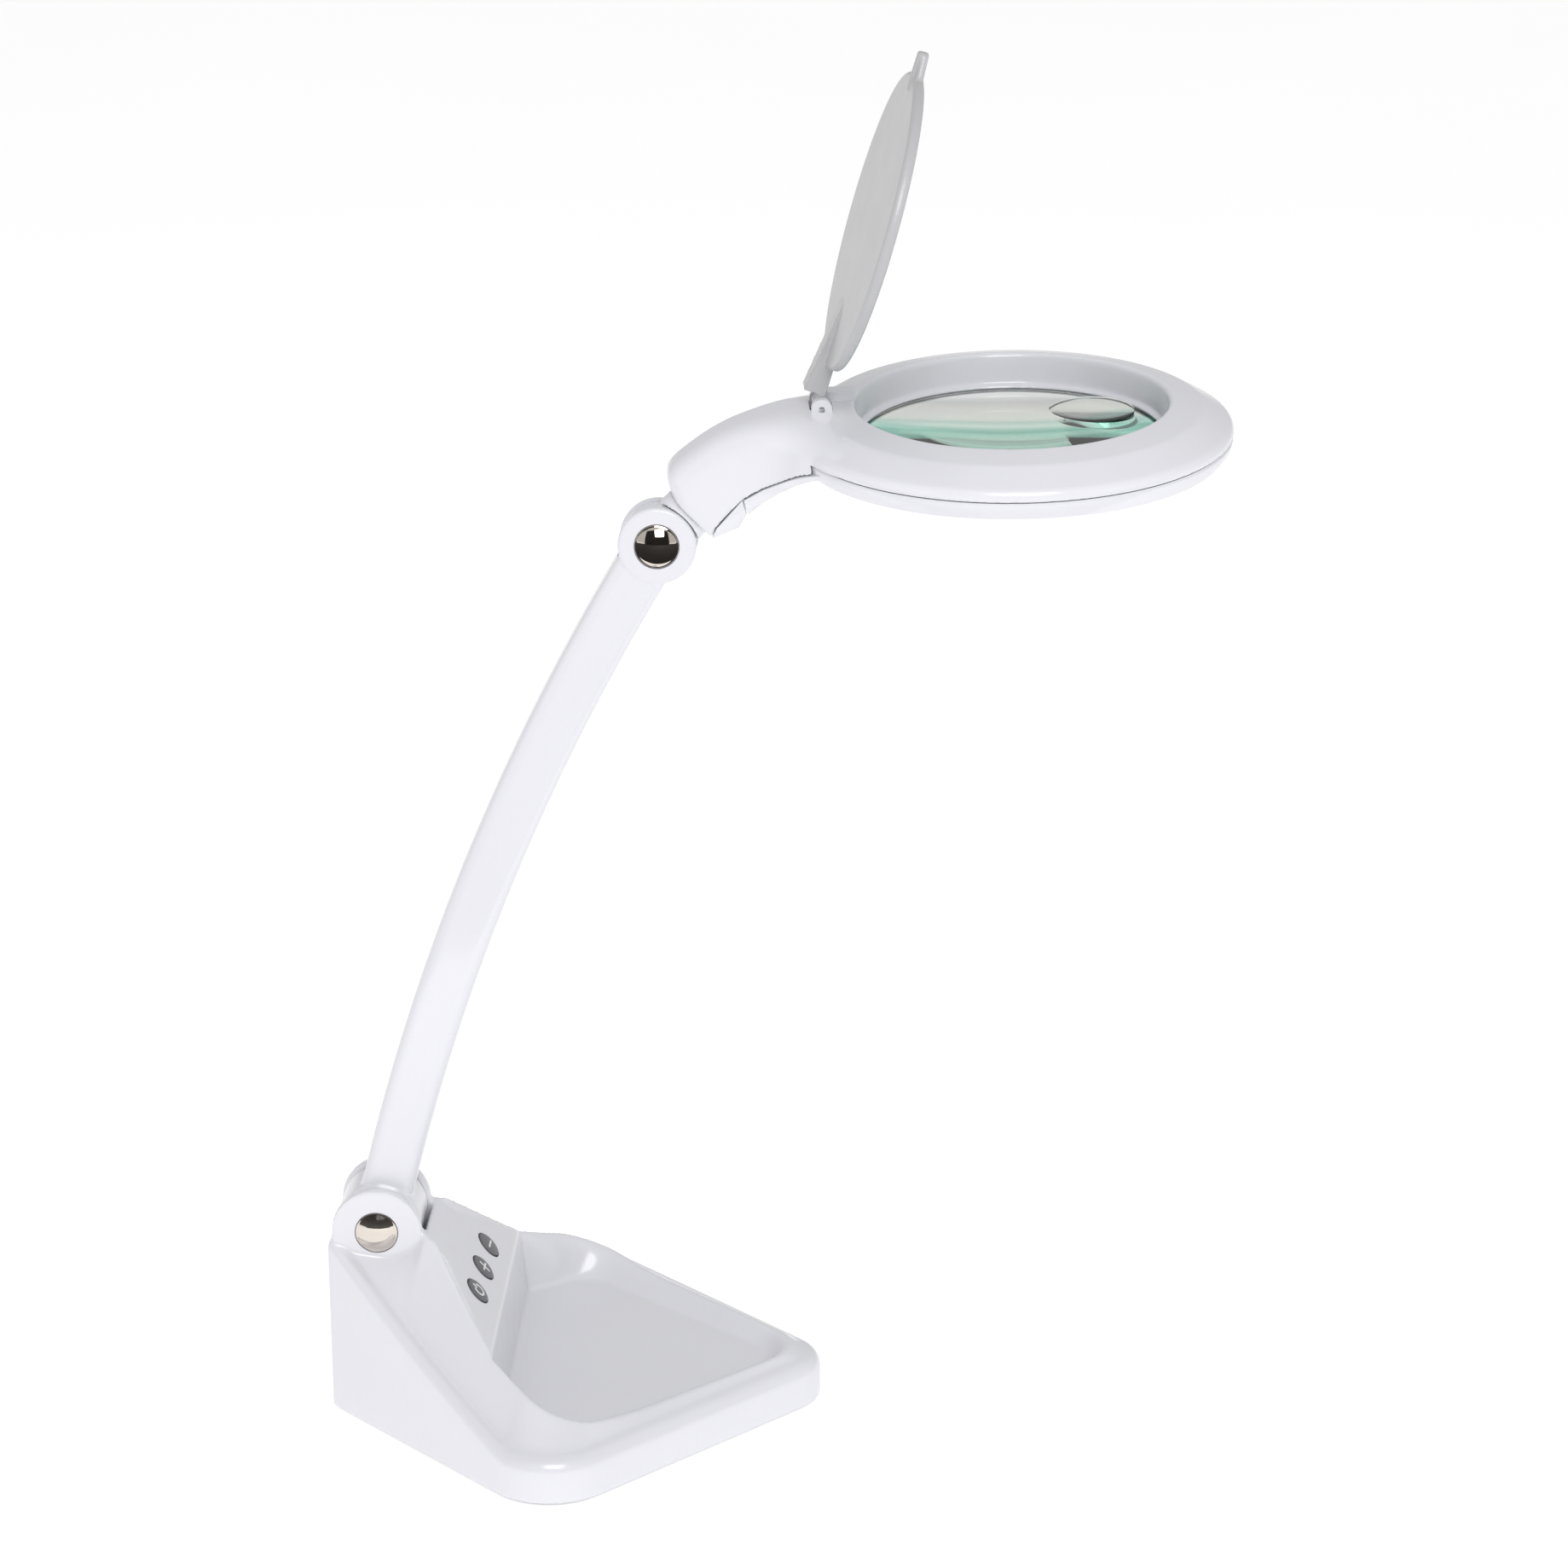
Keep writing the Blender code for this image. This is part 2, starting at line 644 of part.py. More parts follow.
def base_housing():
    housing = add_object("base_housing", lofted(base_skin()), white_plastic())
    join(housing, extruded(column_outline(), -BACK_HALF, BACK_HALF, "X"))
    join(housing, wedge(TRAY_FLOOR / 2, 0.0, 0.0, 0.0))
    cut(housing, lofted(base_hollow()))
    slope_wall = BASE_WALL / math.cos(PANEL_SLOPE) + RUN
    cut(housing, wedge(0.0, slope_wall, BASE_WALL, 3 * TUCK))
    core_top = HINGE_HEIGHT - SLOT_RADIUS - BASE_WALL
    core = BACK_HALF - BASE_WALL
    cut(housing, box((-core, PANEL_TOP_Y, 0), (core, BACK_Y - BASE_WALL, core_top)))
    throat = BACK_HALF + 2 * BASE_WALL
    cut(housing, box((-throat, PANEL_TOP_Y - 4 * BASE_WALL, 0), (throat, -CAP_RADIUS, core_top)))
    cut(housing, moved(disc(SLOT_RADIUS, -SLOT_HALF, SLOT_HALF, ROUND_STEPS), across(z=HINGE_HEIGHT)))
    cut(housing, box((-SLOT_HALF, -SLOT_RADIUS, HINGE_HEIGHT), (SLOT_HALF, BACK_Y, 2 * HINGE_HEIGHT)))
    bolt_hole = disc(BOLT_RADIUS + GAP, -BACK_HALF - TUCK, BACK_HALF + TUCK, HOLE_STEPS)
    cut(housing, moved(bolt_hole, across(z=HINGE_HEIGHT)))
    for side in (LEFT, RIGHT):
        seat = across(side * BACK_HALF, z=HINGE_HEIGHT, side=side)
        cut(housing, moved(disc(CAP_RADIUS + GAP, -CAP_SEAT, CAP_RADIUS), seat))
        cut(housing, moved(disc(BOLT_HEAD_RADIUS + RUN, -CAP_SEAT - BOLT_HEAD - GAP, CAP_SEAT), seat))
    for boss in at_bosses(BOSS_RADIUS, PLATE_TOP + GAP):
        join(housing, boss)
    for x in button_rows():
        cut(housing, moved(disc(BUTTON_RADIUS + GAP, -2 * BASE_WALL, BASE_WALL), panel_matrix(x)))
    for hole in at_bosses(SCREW_RADIUS + GAP, PLATE_TOP - GAP, FOOT_PROUD + SCREW_LENGTH + GAP, SCREW_STEPS):
        cut(housing, hole)
    socket = Matrix.Translation((0, BACK_Y, SOCKET_Z)) @ Matrix.Rotation(math.pi / 2, 4, "X")
    cut(housing, moved(disc(SOCKET_RADIUS + GAP, -SOCKET_DEPTH, SOCKET_DEPTH, HOLE_STEPS), socket))
    wire = disc(WIRE_RADIUS + RUN, core_top - BASE_WALL, HINGE_HEIGHT, SCREW_STEPS)
    cut(housing, moved(wire, Matrix.Translation((0, WIRE_HOLE_Y, 0))))
    return housing


def button_rows():
    return (-BUTTON_PITCH, 0.0, BUTTON_PITCH)


def base_bottom_plate():
    loops = [flat_loop(BASE_WALL + GAP, z) for z in (FOOT_PROUD, PLATE_TOP)]
    plate = add_object("base_bottom_plate", lofted(loops), grey_plastic())
    for x, y in foot_places().values():
        pocket = disc(FOOT_RADIUS + GAP, 0, FOOT_THICK + GAP)
        cut(plate, moved(pocket, Matrix.Translation((x, y, 0))))
    for hole in at_bosses(SCREW_RADIUS + GAP, 0, 2 * PLATE_TOP, SCREW_STEPS):
        cut(plate, hole)
    for hole in at_bosses(SCREW_HEAD_RADIUS + GAP, 0, FOOT_PROUD + SCREW_HEAD, SMALL_STEPS):
        cut(plate, hole)


def foot_places():
    return {"foot_back": (0.0, 0.0), "foot_left": (-FOOT_SIDE, FOOT_SIDE_Y),
            "foot_right": (FOOT_SIDE, FOOT_SIDE_Y), "foot_front": (0.0, FOOT_FRONT_Y)}


def feet():
    for name, (x, y) in foot_places().items():
        foot = add_object(name, disc(FOOT_RADIUS, 0, FOOT_THICK), rubber())
        foot.location = (x, y, 0)


def base_screws():
    stem_top = FOOT_PROUD + SCREW_LENGTH
    profile = ((0, FOOT_PROUD + GAP), (SCREW_HEAD_RADIUS, FOOT_PROUD + GAP),
               (SCREW_HEAD_RADIUS, FOOT_PROUD + SCREW_HEAD - GAP),
               (SCREW_RADIUS, FOOT_PROUD + SCREW_HEAD - GAP), (SCREW_RADIUS, stem_top), (0, stem_top))
    for i, (x, y, _) in enumerate(BOSS_PLACES, 1):
        screw = add_object(f"base_screw_{i}", turned(profile, SCREW_STEPS), steel())
        screw.location = (x, y, 0)


def ballast_plate():
    half, back, front = BALLAST_HALF, BALLAST_BACK_Y, BALLAST_FRONT_Y
    cheek = back - (back - front) * BALLAST_SHOULDER
    outline = ((-half, back), (-half, cheek), (-BALLAST_NOSE, front), (BALLAST_NOSE, front),
               (half, cheek), (half, back))
    low = PLATE_TOP + GAP
    add_object("ballast_plate", extruded(outline, low, low + BALLAST), steel())


def control_board():
    half_x, half_y = BOARD_SIZE[0] / 2, BOARD_SIZE[1] / 2
    board = add_object("control_board", box((-half_x, -half_y, 0), (half_x, half_y, BOARD)), board_green())
    board.matrix_world = panel_matrix(0.0, BOARD_DEPTH + BOARD)
    for i, x in enumerate(button_rows(), 1):
        half = SWITCH_SIZE / 2
        body = box((-half, -half, GAP), (half, half, SWITCH_BODY))
        switch = add_object(f"tact_switch_{i}", body, grey_plastic())
        plunger = disc(PLUNGER_RADIUS, SWITCH_BODY / 2, SWITCH_BODY + PLUNGER, SMALL_STEPS)
        join(switch, plunger, switch)
        switch.matrix_world = panel_matrix(x, BOARD_DEPTH)


def buttons():
    under = -BASE_WALL - 2 * RUN
    stem_end = -BOARD_DEPTH + SWITCH_BODY + PLUNGER + BUTTON_TRAVEL + GAP
    flange = BUTTON_RADIUS + 2 * BUTTON_FLANGE
    profile = ((0, stem_end), (PLUNGER_RADIUS, stem_end), (PLUNGER_RADIUS, under - BUTTON_FLANGE),
               (flange, under - BUTTON_FLANGE), (flange, under), (BUTTON_RADIUS - GAP, under),
               (BUTTON_RADIUS - GAP, BUTTON_PROUD), (0, BUTTON_PROUD + BUTTON_PROUD / 2))
    grey = material("grey_button", (0.16, 0.16, 0.17), 0.4)
    for name, x in zip(("button_power", "button_plus", "button_minus"), button_rows()):
        button = add_object(name, turned(profile, HOLE_STEPS), grey)
        button.matrix_world = panel_matrix(x)


def dc_socket():
    r, bore = SOCKET_RADIUS, SOCKET_RADIUS - SOCKET_WALL
    profile = ((0, -SOCKET_DEPTH), (r, -SOCKET_DEPTH), (r, -GAP), (bore, -GAP),
               (bore, -SOCKET_DEPTH + SOCKET_WALL), (SOCKET_PIN, -SOCKET_DEPTH + SOCKET_WALL),
               (SOCKET_PIN, -SOCKET_WALL), (0, -SOCKET_WALL))
    socket = add_object("dc_socket", turned(profile, HOLE_STEPS), grey_plastic())
    socket.location = (0, BACK_Y, SOCKET_Z)
    socket.rotation_euler = (-math.pi / 2, 0, 0)


# ---------------------------------------------------------------- hinge hardware
def bolt(name, radius, head_radius, head, half, parent, centre):
    """Head on the left, thread end on the right. half is to the head's outer face."""
    profile = ((0, -half), (head_radius, -half), (head_radius, -half + head),
               (radius, -half + head), (radius, half), (0, half))
    made = add_object(name, turned(profile, SMALL_STEPS), steel(), parent)
    made.matrix_local = Matrix.Translation(centre) @ across()


def hex_nut(name, bore, outer, thick, parent, centre, start):
    hole = (bore + GAP) / math.cos(math.pi / 6)
    nut = turned(((hole, 0), (outer, 0), (outer, thick), (hole, thick)), 6)
    made = add_object(name, nut, steel(), parent)
    made.matrix_local = Matrix.Translation(centre) @ across(start)


def cap(name, side, parent, centre, face):
    """Domed cover that sits in a shallow seat. Its back stays clear of the bolt."""
    profile = [(0, -CAP_SEAT + GAP), (CAP_RADIUS, -CAP_SEAT + GAP)] + dome(CAP_RADIUS, CAP_DOME, 0.0)
    made = add_object(name, turned(profile, CAP_STEPS), chrome(), parent)
    made.matrix_local = Matrix.Translation(centre) @ across(side * face, side=side)


def washer(name, side, bore, outer, inner_face, parent, centre):
    made = add_object(name, tube(bore, outer, 0, WASHER, HOLE_STEPS), grey_plastic(), parent)
    made.matrix_local = Matrix.Translation(centre) @ across(side * inner_face, side=side)


def hinge_set(prefix, radius, head_radius, head, half, inner, washer_radius, parent, centre):
    """Bolt, nut, two friction washers and two caps for one hinge."""
    head_face = half - CAP_SEAT - GAP
    bolt(f"{prefix}_bolt", radius, head_radius, head, head_face, parent, centre)
    hex_nut(f"{prefix}_nut", radius, head_radius, head - GAP, parent, centre, head_face - head)
    for side, word in ((LEFT, "left"), (RIGHT, "right")):
        cap(f"{prefix}_cap_{word}", side, parent, centre, half)
        washer(f"{prefix}_washer_{word}", side, radius + GAP, washer_radius,
               inner - GAP - WASHER, parent, centre)


# ---------------------------------------------------------------- arm
def arm_point(t):
    """Centre line of the arm from the lower hinge, t = 0, to the upper one, t = 1."""
    chord = Vector((0, -ARM_REACH, ARM_RISE))
    half = chord.length / 2
    radius = (half * half + ARM_SAGITTA * ARM_SAGITTA) / (2 * ARM_SAGITTA)
    bulge = Vector((0, chord.z, -chord.y)).normalized()
    angle = math.asin(half / radius) * (2 * t - 1)
    middle = chord / 2 - bulge * (radius - ARM_SAGITTA)
    along = chord.normalized()
    outward = bulge * math.cos(angle) + along * math.sin(angle)
    forward = along * math.cos(angle) - bulge * math.sin(angle)
    return middle + outward * radius, outward, forward


def arm_loop(t, half_x, half_depth, corner, across_shift=0.0):
    """Rounded rectangle square to the arm's centre line."""
    point, outward, forward = arm_point(t)
    corner = min(corner, CORNER_LIMIT * half_x, CORNER_LIMIT * half_depth)
    loop = []
    for sx, sd, first in ((1, 1, 0), (-1, 1, 90), (-1, -1, 180), (1, -1, 270)):
        centre = (sx * (half_x - corner), sd * (half_depth - corner))
        for x, d in arc(centre, corner, first, first + 90, CORNER_STATIONS):
            loop.append(point + outward * d + Vector((x + across_shift, 0, 0)))
    return loop


def arm_sweep(start, end, count, shrink=0.0):
    loops = []
    for i in range(count):
        t = mix(start, end, i / (count - 1))
        half_x = mix(ARM_HALF_LOW, ARM_HALF_HIGH, t) - shrink
        half_depth = mix(ARM_DEPTH_LOW, ARM_DEPTH_HIGH, t) / 2 - shrink
        loops.append(arm_loop(t, half_x, half_depth, ARM_CORNER - shrink / 2))
    return lofted(loops)


def arm_length():
    return math.hypot(ARM_REACH, ARM_RISE)


def upper_offset():
    return Vector((0, -ARM_REACH, ARM_RISE))


def arm_sleeve(parent):
    start = BARREL_RADIUS / 2 / arm_length()
    end = 1 - UPPER_RADIUS / 2 / arm_length()
    sleeve = add_object("arm_sleeve", arm_sweep(start, end, ARM_STATIONS), white_plastic(), parent)
    barrel_half = SLOT_HALF - WASHER - 3 * GAP
    join(sleeve, moved(disc(BARREL_RADIUS, -barrel_half, barrel_half, ROUND_STEPS), across()), parent)
    top = upper_offset()
    tongue_gap = UPPER_HALF - UPPER_DISC
    eye = moved(disc(UPPER_RADIUS, -UPPER_HALF, UPPER_HALF, EYE_STEPS), across())
    join(sleeve, moved(eye, Matrix.Translation(top)), parent)
    passage_end = 1 - UPPER_RADIUS / 3 / arm_length()
    cut(sleeve, arm_sweep(-ARM_OVERRUN, passage_end, PASSAGE_STATIONS, ARM_WALL), parent)
    fork = disc(UPPER_RADIUS + RUN, -tongue_gap, tongue_gap, EYE_STEPS)
    cut(sleeve, moved(fork, Matrix.Translation(top) @ across()), parent)
    hole = disc(BOLT_RADIUS + GAP, -BACK_HALF, BACK_HALF, HOLE_STEPS)
    cut(sleeve, moved(hole, across()), parent)
    upper_hole = disc(UPPER_BOLT_RADIUS + GAP, -BACK_HALF, BACK_HALF, HOLE_STEPS)
    cut(sleeve, moved(upper_hole, Matrix.Translation(top) @ across()), parent)
    for side in (LEFT, RIGHT):
        seat = Matrix.Translation(top) @ across(side * UPPER_HALF, side=side)
        cut(sleeve, moved(disc(CAP_RADIUS + GAP, -CAP_SEAT, CAP_RADIUS), seat), parent)
        recess = disc(UPPER_BOLT_HEAD_RADIUS + RUN, -CAP_SEAT - UPPER_BOLT_HEAD - GAP, CAP_SEAT)
        cut(sleeve, moved(recess, seat), parent)


def arm_inside(parent):
    """The steel bar that stiffens the arm, and the lead that runs beside it."""
    reach = (BOLT_RADIUS + CORE_CLEAR) / arm_length()
    top = 1 - (UPPER_RADIUS + CORE_CLEAR) / arm_length()
    bar, wire = [], []
    for i in range(BAR_STATIONS):
        t = mix(reach, top, i / (BAR_STATIONS - 1))
        bar.append(arm_loop(t, ARM_BAR_HALF, ARM_BAR_DEPTH / 2, ARM_BAR_HALF / 2, ARM_BAR_HALF))
        point = arm_point(t)[0] + Vector((-WIRE_RADIUS - GAP, 0, 0))
        _, outward, _ = arm_point(t)
        section = arc((0, 0), WIRE_RADIUS, 0, 360 - 360 / WIRE_STEPS, WIRE_STEPS)
        wire.append([point + outward * d + Vector((x, 0, 0)) for x, d in section])
    add_object("arm_steel_bar", lofted(bar), steel(), parent)
    add_object("arm_lead", lofted(wire), grey_plastic(), parent)


# ---------------------------------------------------------------- neck joint
SWIVEL_AXIS = Vector((0, -math.cos(SWIVEL_RISE), math.sin(SWIVEL_RISE)))


def along_swivel(distance=0.0):
    """Local Z lies along the neck's turning axis."""
    turn = Matrix.Rotation(math.pi / 2 - SWIVEL_RISE, 4, "X")
    return Matrix.Translation(SWIVEL_AXIS * distance) @ turn


def head_knuckle(parent):
    tongue_half = UPPER_HALF - UPPER_DISC - WASHER - 2 * GAP
    tongue = moved(disc(UPPER_RADIUS - RUN, -tongue_half, tongue_half, EYE_STEPS), across())
    knuckle = add_object("head_knuckle", tongue, white_plastic(), parent)
    join(knuckle, moved(disc(COLLAR_RADIUS, UPPER_RADIUS / 2, COLLAR_END, COLLAR_STEPS), along_swivel()), parent)
    join(knuckle, moved(disc(STEM_RADIUS, UPPER_RADIUS, STEM_END, HOLE_STEPS), along_swivel()), parent)
    for side in (LEFT, RIGHT):
        relief = disc(UPPER_RADIUS + RUN, tongue_half, 2 * UPPER_RADIUS, EYE_STEPS)
        cut(knuckle, moved(relief, across(side=side)), parent)
    hole = disc(UPPER_BOLT_RADIUS + GAP, -UPPER_HALF, UPPER_HALF, HOLE_STEPS)
    cut(knuckle, moved(hole, across()), parent)
    groove = tube(STEM_RADIUS - CLIP, STEM_RADIUS + CLIP, 0, CLIP + 2 * GAP, HOLE_STEPS)
    cut(knuckle, moved(groove, along_swivel(CLIP_PLACE - GAP)), parent)
    ring = tube(STEM_RADIUS - CLIP + GAP, STEM_RADIUS + 2 * CLIP, 0, CLIP, HOLE_STEPS)
    clip = add_object("swivel_clip", ring, steel(), parent)
    clip.matrix_local = along_swivel(CLIP_PLACE)


# ---------------------------------------------------------------- head
def in_neck(forward, up):
    """A point on the neck's middle plane from the upper hinge."""
    return Vector((0, -forward, up))


def neck_sections():
    """Lower point, upper point and half width of each slice through the neck."""
    end = SWIVEL_AXIS * NECK_START
    square = Vector((0, SWIVEL_AXIS.z, -SWIVEL_AXIS.y)) * COLLAR_RADIUS
    rows = [(end - square, end + square, NECK_END_HALF)]
    rows += [(in_neck(*low), in_neck(*high), half) for low, high, half in NECK_ROWS]
    return rows


def neck_loop(low, high, half, shrink=0.0, below=0.0):
    """Arch-shaped slice: straight sides, broad round shoulders."""
    rise = high - low
    up = rise.normalized()
    base = low - up * below
    height = rise.length - shrink + below
    square = mix(NECK_SQUARE, NECK_SOFT, smooth((half - NECK_NARROW) / (NECK_WIDE - NECK_NARROW)))
    half -= shrink
    loop = [base + Vector((-half, 0, 0))]
    for i in range(NECK_ARCH_STEPS + 1):
        a = math.pi * i / NECK_ARCH_STEPS
        x = -half * math.copysign(abs(math.cos(a)) ** square, math.cos(a))
        lift = abs(math.sin(a)) ** square
        loop.append(base + up * mix(height * NECK_SHOULDER, height, lift) + Vector((x, 0, 0)))
    return loop + [base + Vector((half, 0, 0))]


def ring_profile():
    """Closed (radius, height) outline of the ring's upper shell round the lens centre."""
    crest, wall = HEAD_RISE, HEAD_WALL
    parting = crest - RING_PARTING_DROP
    shoulder = crest - RING_SHOULDER_DROP
    lip_top = crest - RECESS_DEPTH
    lip_low = lip_top - LIP_THICK
    wall_in = RING_CREST_IN + wall
    return ((RING_RADIUS, parting), (RING_RADIUS, parting + RIM_EDGE), (RING_SHOULDER, shoulder),
            (RING_CREST_IN + CREST_EASE, crest), (RING_CREST_IN, crest - CREST_EASE),
            (RING_CREST_IN - RECESS_DRAFT, lip_top), (LIP_IN, lip_top), (LIP_IN, lip_low),
            (wall_in, lip_low), (wall_in, crest - CREST_WALL * wall),
            (RING_SHOULDER - SHOULDER_WALL[0] * wall, shoulder - SHOULDER_WALL[1] * wall),
            (RING_RADIUS - wall, parting))


def ring_frame():
    return Matrix.Translation((0, -HEAD_REACH, 0))


def head_top_shell(parent):
    ring = moved(turned(ring_profile(), RING_STEPS), ring_frame())
    shell = add_object("head_top_shell", ring, white_plastic(), parent)
    sections = neck_sections()
    join(shell, lofted([neck_loop(*s) for s in sections]), parent)
    inner = [neck_loop(*s, shrink=HEAD_WALL, below=HEAD_WALL) for s in sections]
    setback = SWIVEL_AXIS * SETBACK * HEAD_WALL
    inner[0] = [p + setback for p in inner[0]]
    tail = [p + in_neck(*LAST_IN) * HEAD_WALL for p in inner.pop()]
    cut(shell, lofted(inner + [tail]), parent)
    cut(shell, moved(disc(STEM_RADIUS + GAP, 0, STEM_END, HOLE_STEPS), along_swivel()), parent)
    parting = HEAD_RISE - RING_PARTING_DROP
    cut(shell, moved(tube(CHANNEL_IN, RING_RADIUS + GAP, 0.0, parting), ring_frame()), parent)
    for side in (LEFT, RIGHT):
        offset = Vector((side * (LID_STRAP_HALF + RUN + LUG / 2) - LUG / 2, 0, 0))
        lug = extruded(lug_outline(), 0, LUG, "X")
        join(shell, moved(lug, Matrix.Translation(offset + lid_hinge())), parent)
    trough = disc(LID_BARREL + 2 * RUN, -LID_STRAP_HALF - RUN, LID_STRAP_HALF + RUN)
    cut(shell, moved(trough, Matrix.Translation(lid_hinge()) @ across()), parent)
    pin_hole = disc(LID_PIN + GAP, -BACK_HALF, BACK_HALF, SMALL_STEPS)
    cut(shell, moved(pin_hole, Matrix.Translation(lid_hinge()) @ across()), parent)


def lug_outline():
    radius = LID_BARREL + RUN
    root = -LUG_ROOT * radius
    return [(radius, root)] + arc((0, 0), radius, 0, 180, LUG_STEPS) + [(-radius, root)]


def lid_hinge():
    return in_neck(HEAD_REACH - LID_BACK, HEAD_RISE + LID_HINGE_UP)


def band_profile():
    """Outline of the lower band, before its channel for the lights is cut."""
    top = HEAD_RISE - RING_PARTING_DROP - GAP
    low = top - BAND_HEIGHT
    roof = low + CHANNEL_DEPTH
    step = roof + CHANNEL_ROOF
    rest = LENS_MIDDLE - LENS_EDGE / 2 - GAP
    outer, wall_in = RING_RADIUS - HEAD_WALL, CHANNEL_IN - CHANNEL_WALL
    return ((RING_RADIUS - GAP, top), (outer, top), (outer, roof + HEAD_WALL),
            (CHANNEL_IN, roof + HEAD_WALL), (CHANNEL_IN, step), (wall_in, step), (wall_in, rest),
            (LIP_IN, rest), (LIP_IN, low), (RING_RADIUS - BAND_TAPER, low),
            (RING_RADIUS - BAND_TAPER / 4, low + BAND_BEND * BAND_HEIGHT))


def head_bottom_shell(parent):
    band = moved(turned(band_profile(), RING_STEPS), ring_frame())
    shell = add_object("head_bottom_shell", band, white_plastic(), parent)
    sections = neck_sections()[COVER_ROWS - 1:]
    tray = []
    for i, (low, high, half) in enumerate(sections):
        depth = mix(NECK_TRAY_DEEP, NECK_TRAY_SHALLOW, i / (len(sections) - 1))
        up = (high - low).normalized()
        top = low - up * GAP
        keel = top - up * depth
        inset = depth * TRAY_LEAN
        tray.append([top + Vector((-half, 0, 0)), keel + Vector((-half + inset, 0, 0)),
                     keel + Vector((half - inset, 0, 0)), top + Vector((half, 0, 0))])
    join(shell, lofted(tray), parent)
    roof = HEAD_RISE - RING_PARTING_DROP - GAP - BAND_HEIGHT + CHANNEL_DEPTH
    cut(shell, moved(tube(CHANNEL_IN, CHANNEL_OUT, 0.0, roof), ring_frame()), parent)


def neck_cover(parent):
    """Closes the underside of the neck between its end and the lower shell."""
    sections = neck_sections()[:COVER_ROWS]
    block = []
    for i, (low, high, half) in enumerate(sections):
        up = (high - low).normalized()
        top = low - up * GAP
        if i == 0:
            top = top + SWIVEL_AXIS * GAP
        if i == COVER_ROWS - 1:
            top = top - in_neck(GAP, 0)
        keel = top - up * NECK_COVER_DEPTH[i]
        flat = half * COVER_KEEL
        block.append([top + Vector((-half, 0, 0)), keel + Vector((-flat, 0, 0)),
                      keel + Vector((flat, 0, 0)), top + Vector((half, 0, 0))])
    add_object("neck_cover", lofted(block), white_plastic(), parent)


def lens_parts(parent):
    glass = material("crown_glass", (0.80, 0.93, 0.88), 0.02, 0.0, 0.95)
    half = LENS_EDGE / 2
    rise = [(LENS_RADIUS * math.cos(a), half + LENS_SAG * math.sin(a) ** 2)
            for a in (math.pi / 2 * i / 4 for i in range(5))]
    profile = rise + [(r, -z) for r, z in reversed(rise)]
    lens = add_object("lens", turned(profile, LENS_STEPS), glass, parent)
    lens.location = (0, -HEAD_REACH, LENS_MIDDLE)
    seat = disc(INSERT_RADIUS + GAP, -LENS_EDGE * 4, LENS_EDGE * 4, ROUND_STEPS)
    cut(lens, moved(seat, Matrix.Translation((INSERT_X, INSERT_Y, 0))), lens)
    edge = half + INSERT_EDGE
    bulge = [(INSERT_RADIUS * math.cos(a), edge + INSERT_SAG * math.sin(a) ** 2)
             for a in (math.pi / 2 * i / 4 for i in range(5))]
    outline = bulge + [(r, -z) for r, z in reversed(bulge)]
    insert = add_object("reading_insert", turned(outline, ROUND_STEPS), glass, parent)
    insert.location = (INSERT_X, -HEAD_REACH + INSERT_Y, LENS_MIDDLE)


def light_parts(parent):
    low = HEAD_RISE - RING_PARTING_DROP - GAP - BAND_HEIGHT
    roof = low + CHANNEL_DEPTH
    inner, outer = CHANNEL_IN + GAP, CHANNEL_OUT - GAP

    def annulus(name, bottom, thick, finish):
        ring = tube(inner, outer, bottom, bottom + thick)
        add_object(name, moved(ring, ring_frame()), finish, parent)

    annulus("led_board", roof - GAP - BOARD, BOARD, board_green())
    annulus("led_diffuser", low + GAP, DIFFUSER, material("diffuser", (0.95, 0.95, 0.95), 0.5, 0.0, 0.3))
    half_x, half_y = DRIVER_HALF
    driver = box((-half_x, -half_y, 0), (half_x, half_y, BOARD))
    place = Matrix.Translation(in_neck(DRIVER_FORWARD, DRIVER_UP))
    add_object("led_driver_board", moved(driver, place), board_green(), parent)


def lid_pin(parent):
    half = LID_STRAP_HALF + RUN + LUG
    pin = add_object("lid_hinge_pin", disc(LID_PIN, -half, half, SMALL_STEPS), steel(), parent)
    pin.matrix_local = Matrix.Translation(lid_hinge()) @ across()


def lid(parent):
    """The lid as it lies when shut: its hinge on the local X axis, the disc towards -Y."""
    base = -LID_LOW * LID_THICK
    top = base + LID_THICK
    edge = LID_RADIUS
    flat, fall = LID_CROWN
    profile = [(0, base), (edge - LID_EASE_HIGH, base), (edge, base + LID_EASE_LOW),
               (edge, top - LID_EASE_HIGH), (edge - LID_EASE_HIGH, top - fall), (edge * flat, top), (0, top)]
    centre = Matrix.Translation((0, -LID_BACK, 0))
    made = add_object("lens_lid", moved(turned(profile, LENS_STEPS), centre), white_plastic(), parent)
    join(made, moved(disc(LID_BARREL, -LID_STRAP_HALF, LID_STRAP_HALF), across()), parent)
    start = -LID_BACK + edge * STRAP_START
    strap = box((-LID_STRAP_HALF, start, base + STRAP_IN), (LID_STRAP_HALF, 0, top - STRAP_IN))
    join(made, strap, parent)
    tip = -LID_BACK - edge - LID_TAB
    root = tip + LID_TAB * TAB_ROOT
    tab = ((-TAB_HALF, root), (-TAB_TIP_HALF, tip), (TAB_TIP_HALF, tip), (TAB_HALF, root))
    join(made, extruded(tab, base + STRAP_IN, top - STRAP_IN), parent)
    cut(made, moved(disc(LID_PIN + GAP, -BACK_HALF, BACK_HALF, SMALL_STEPS), across()), parent)


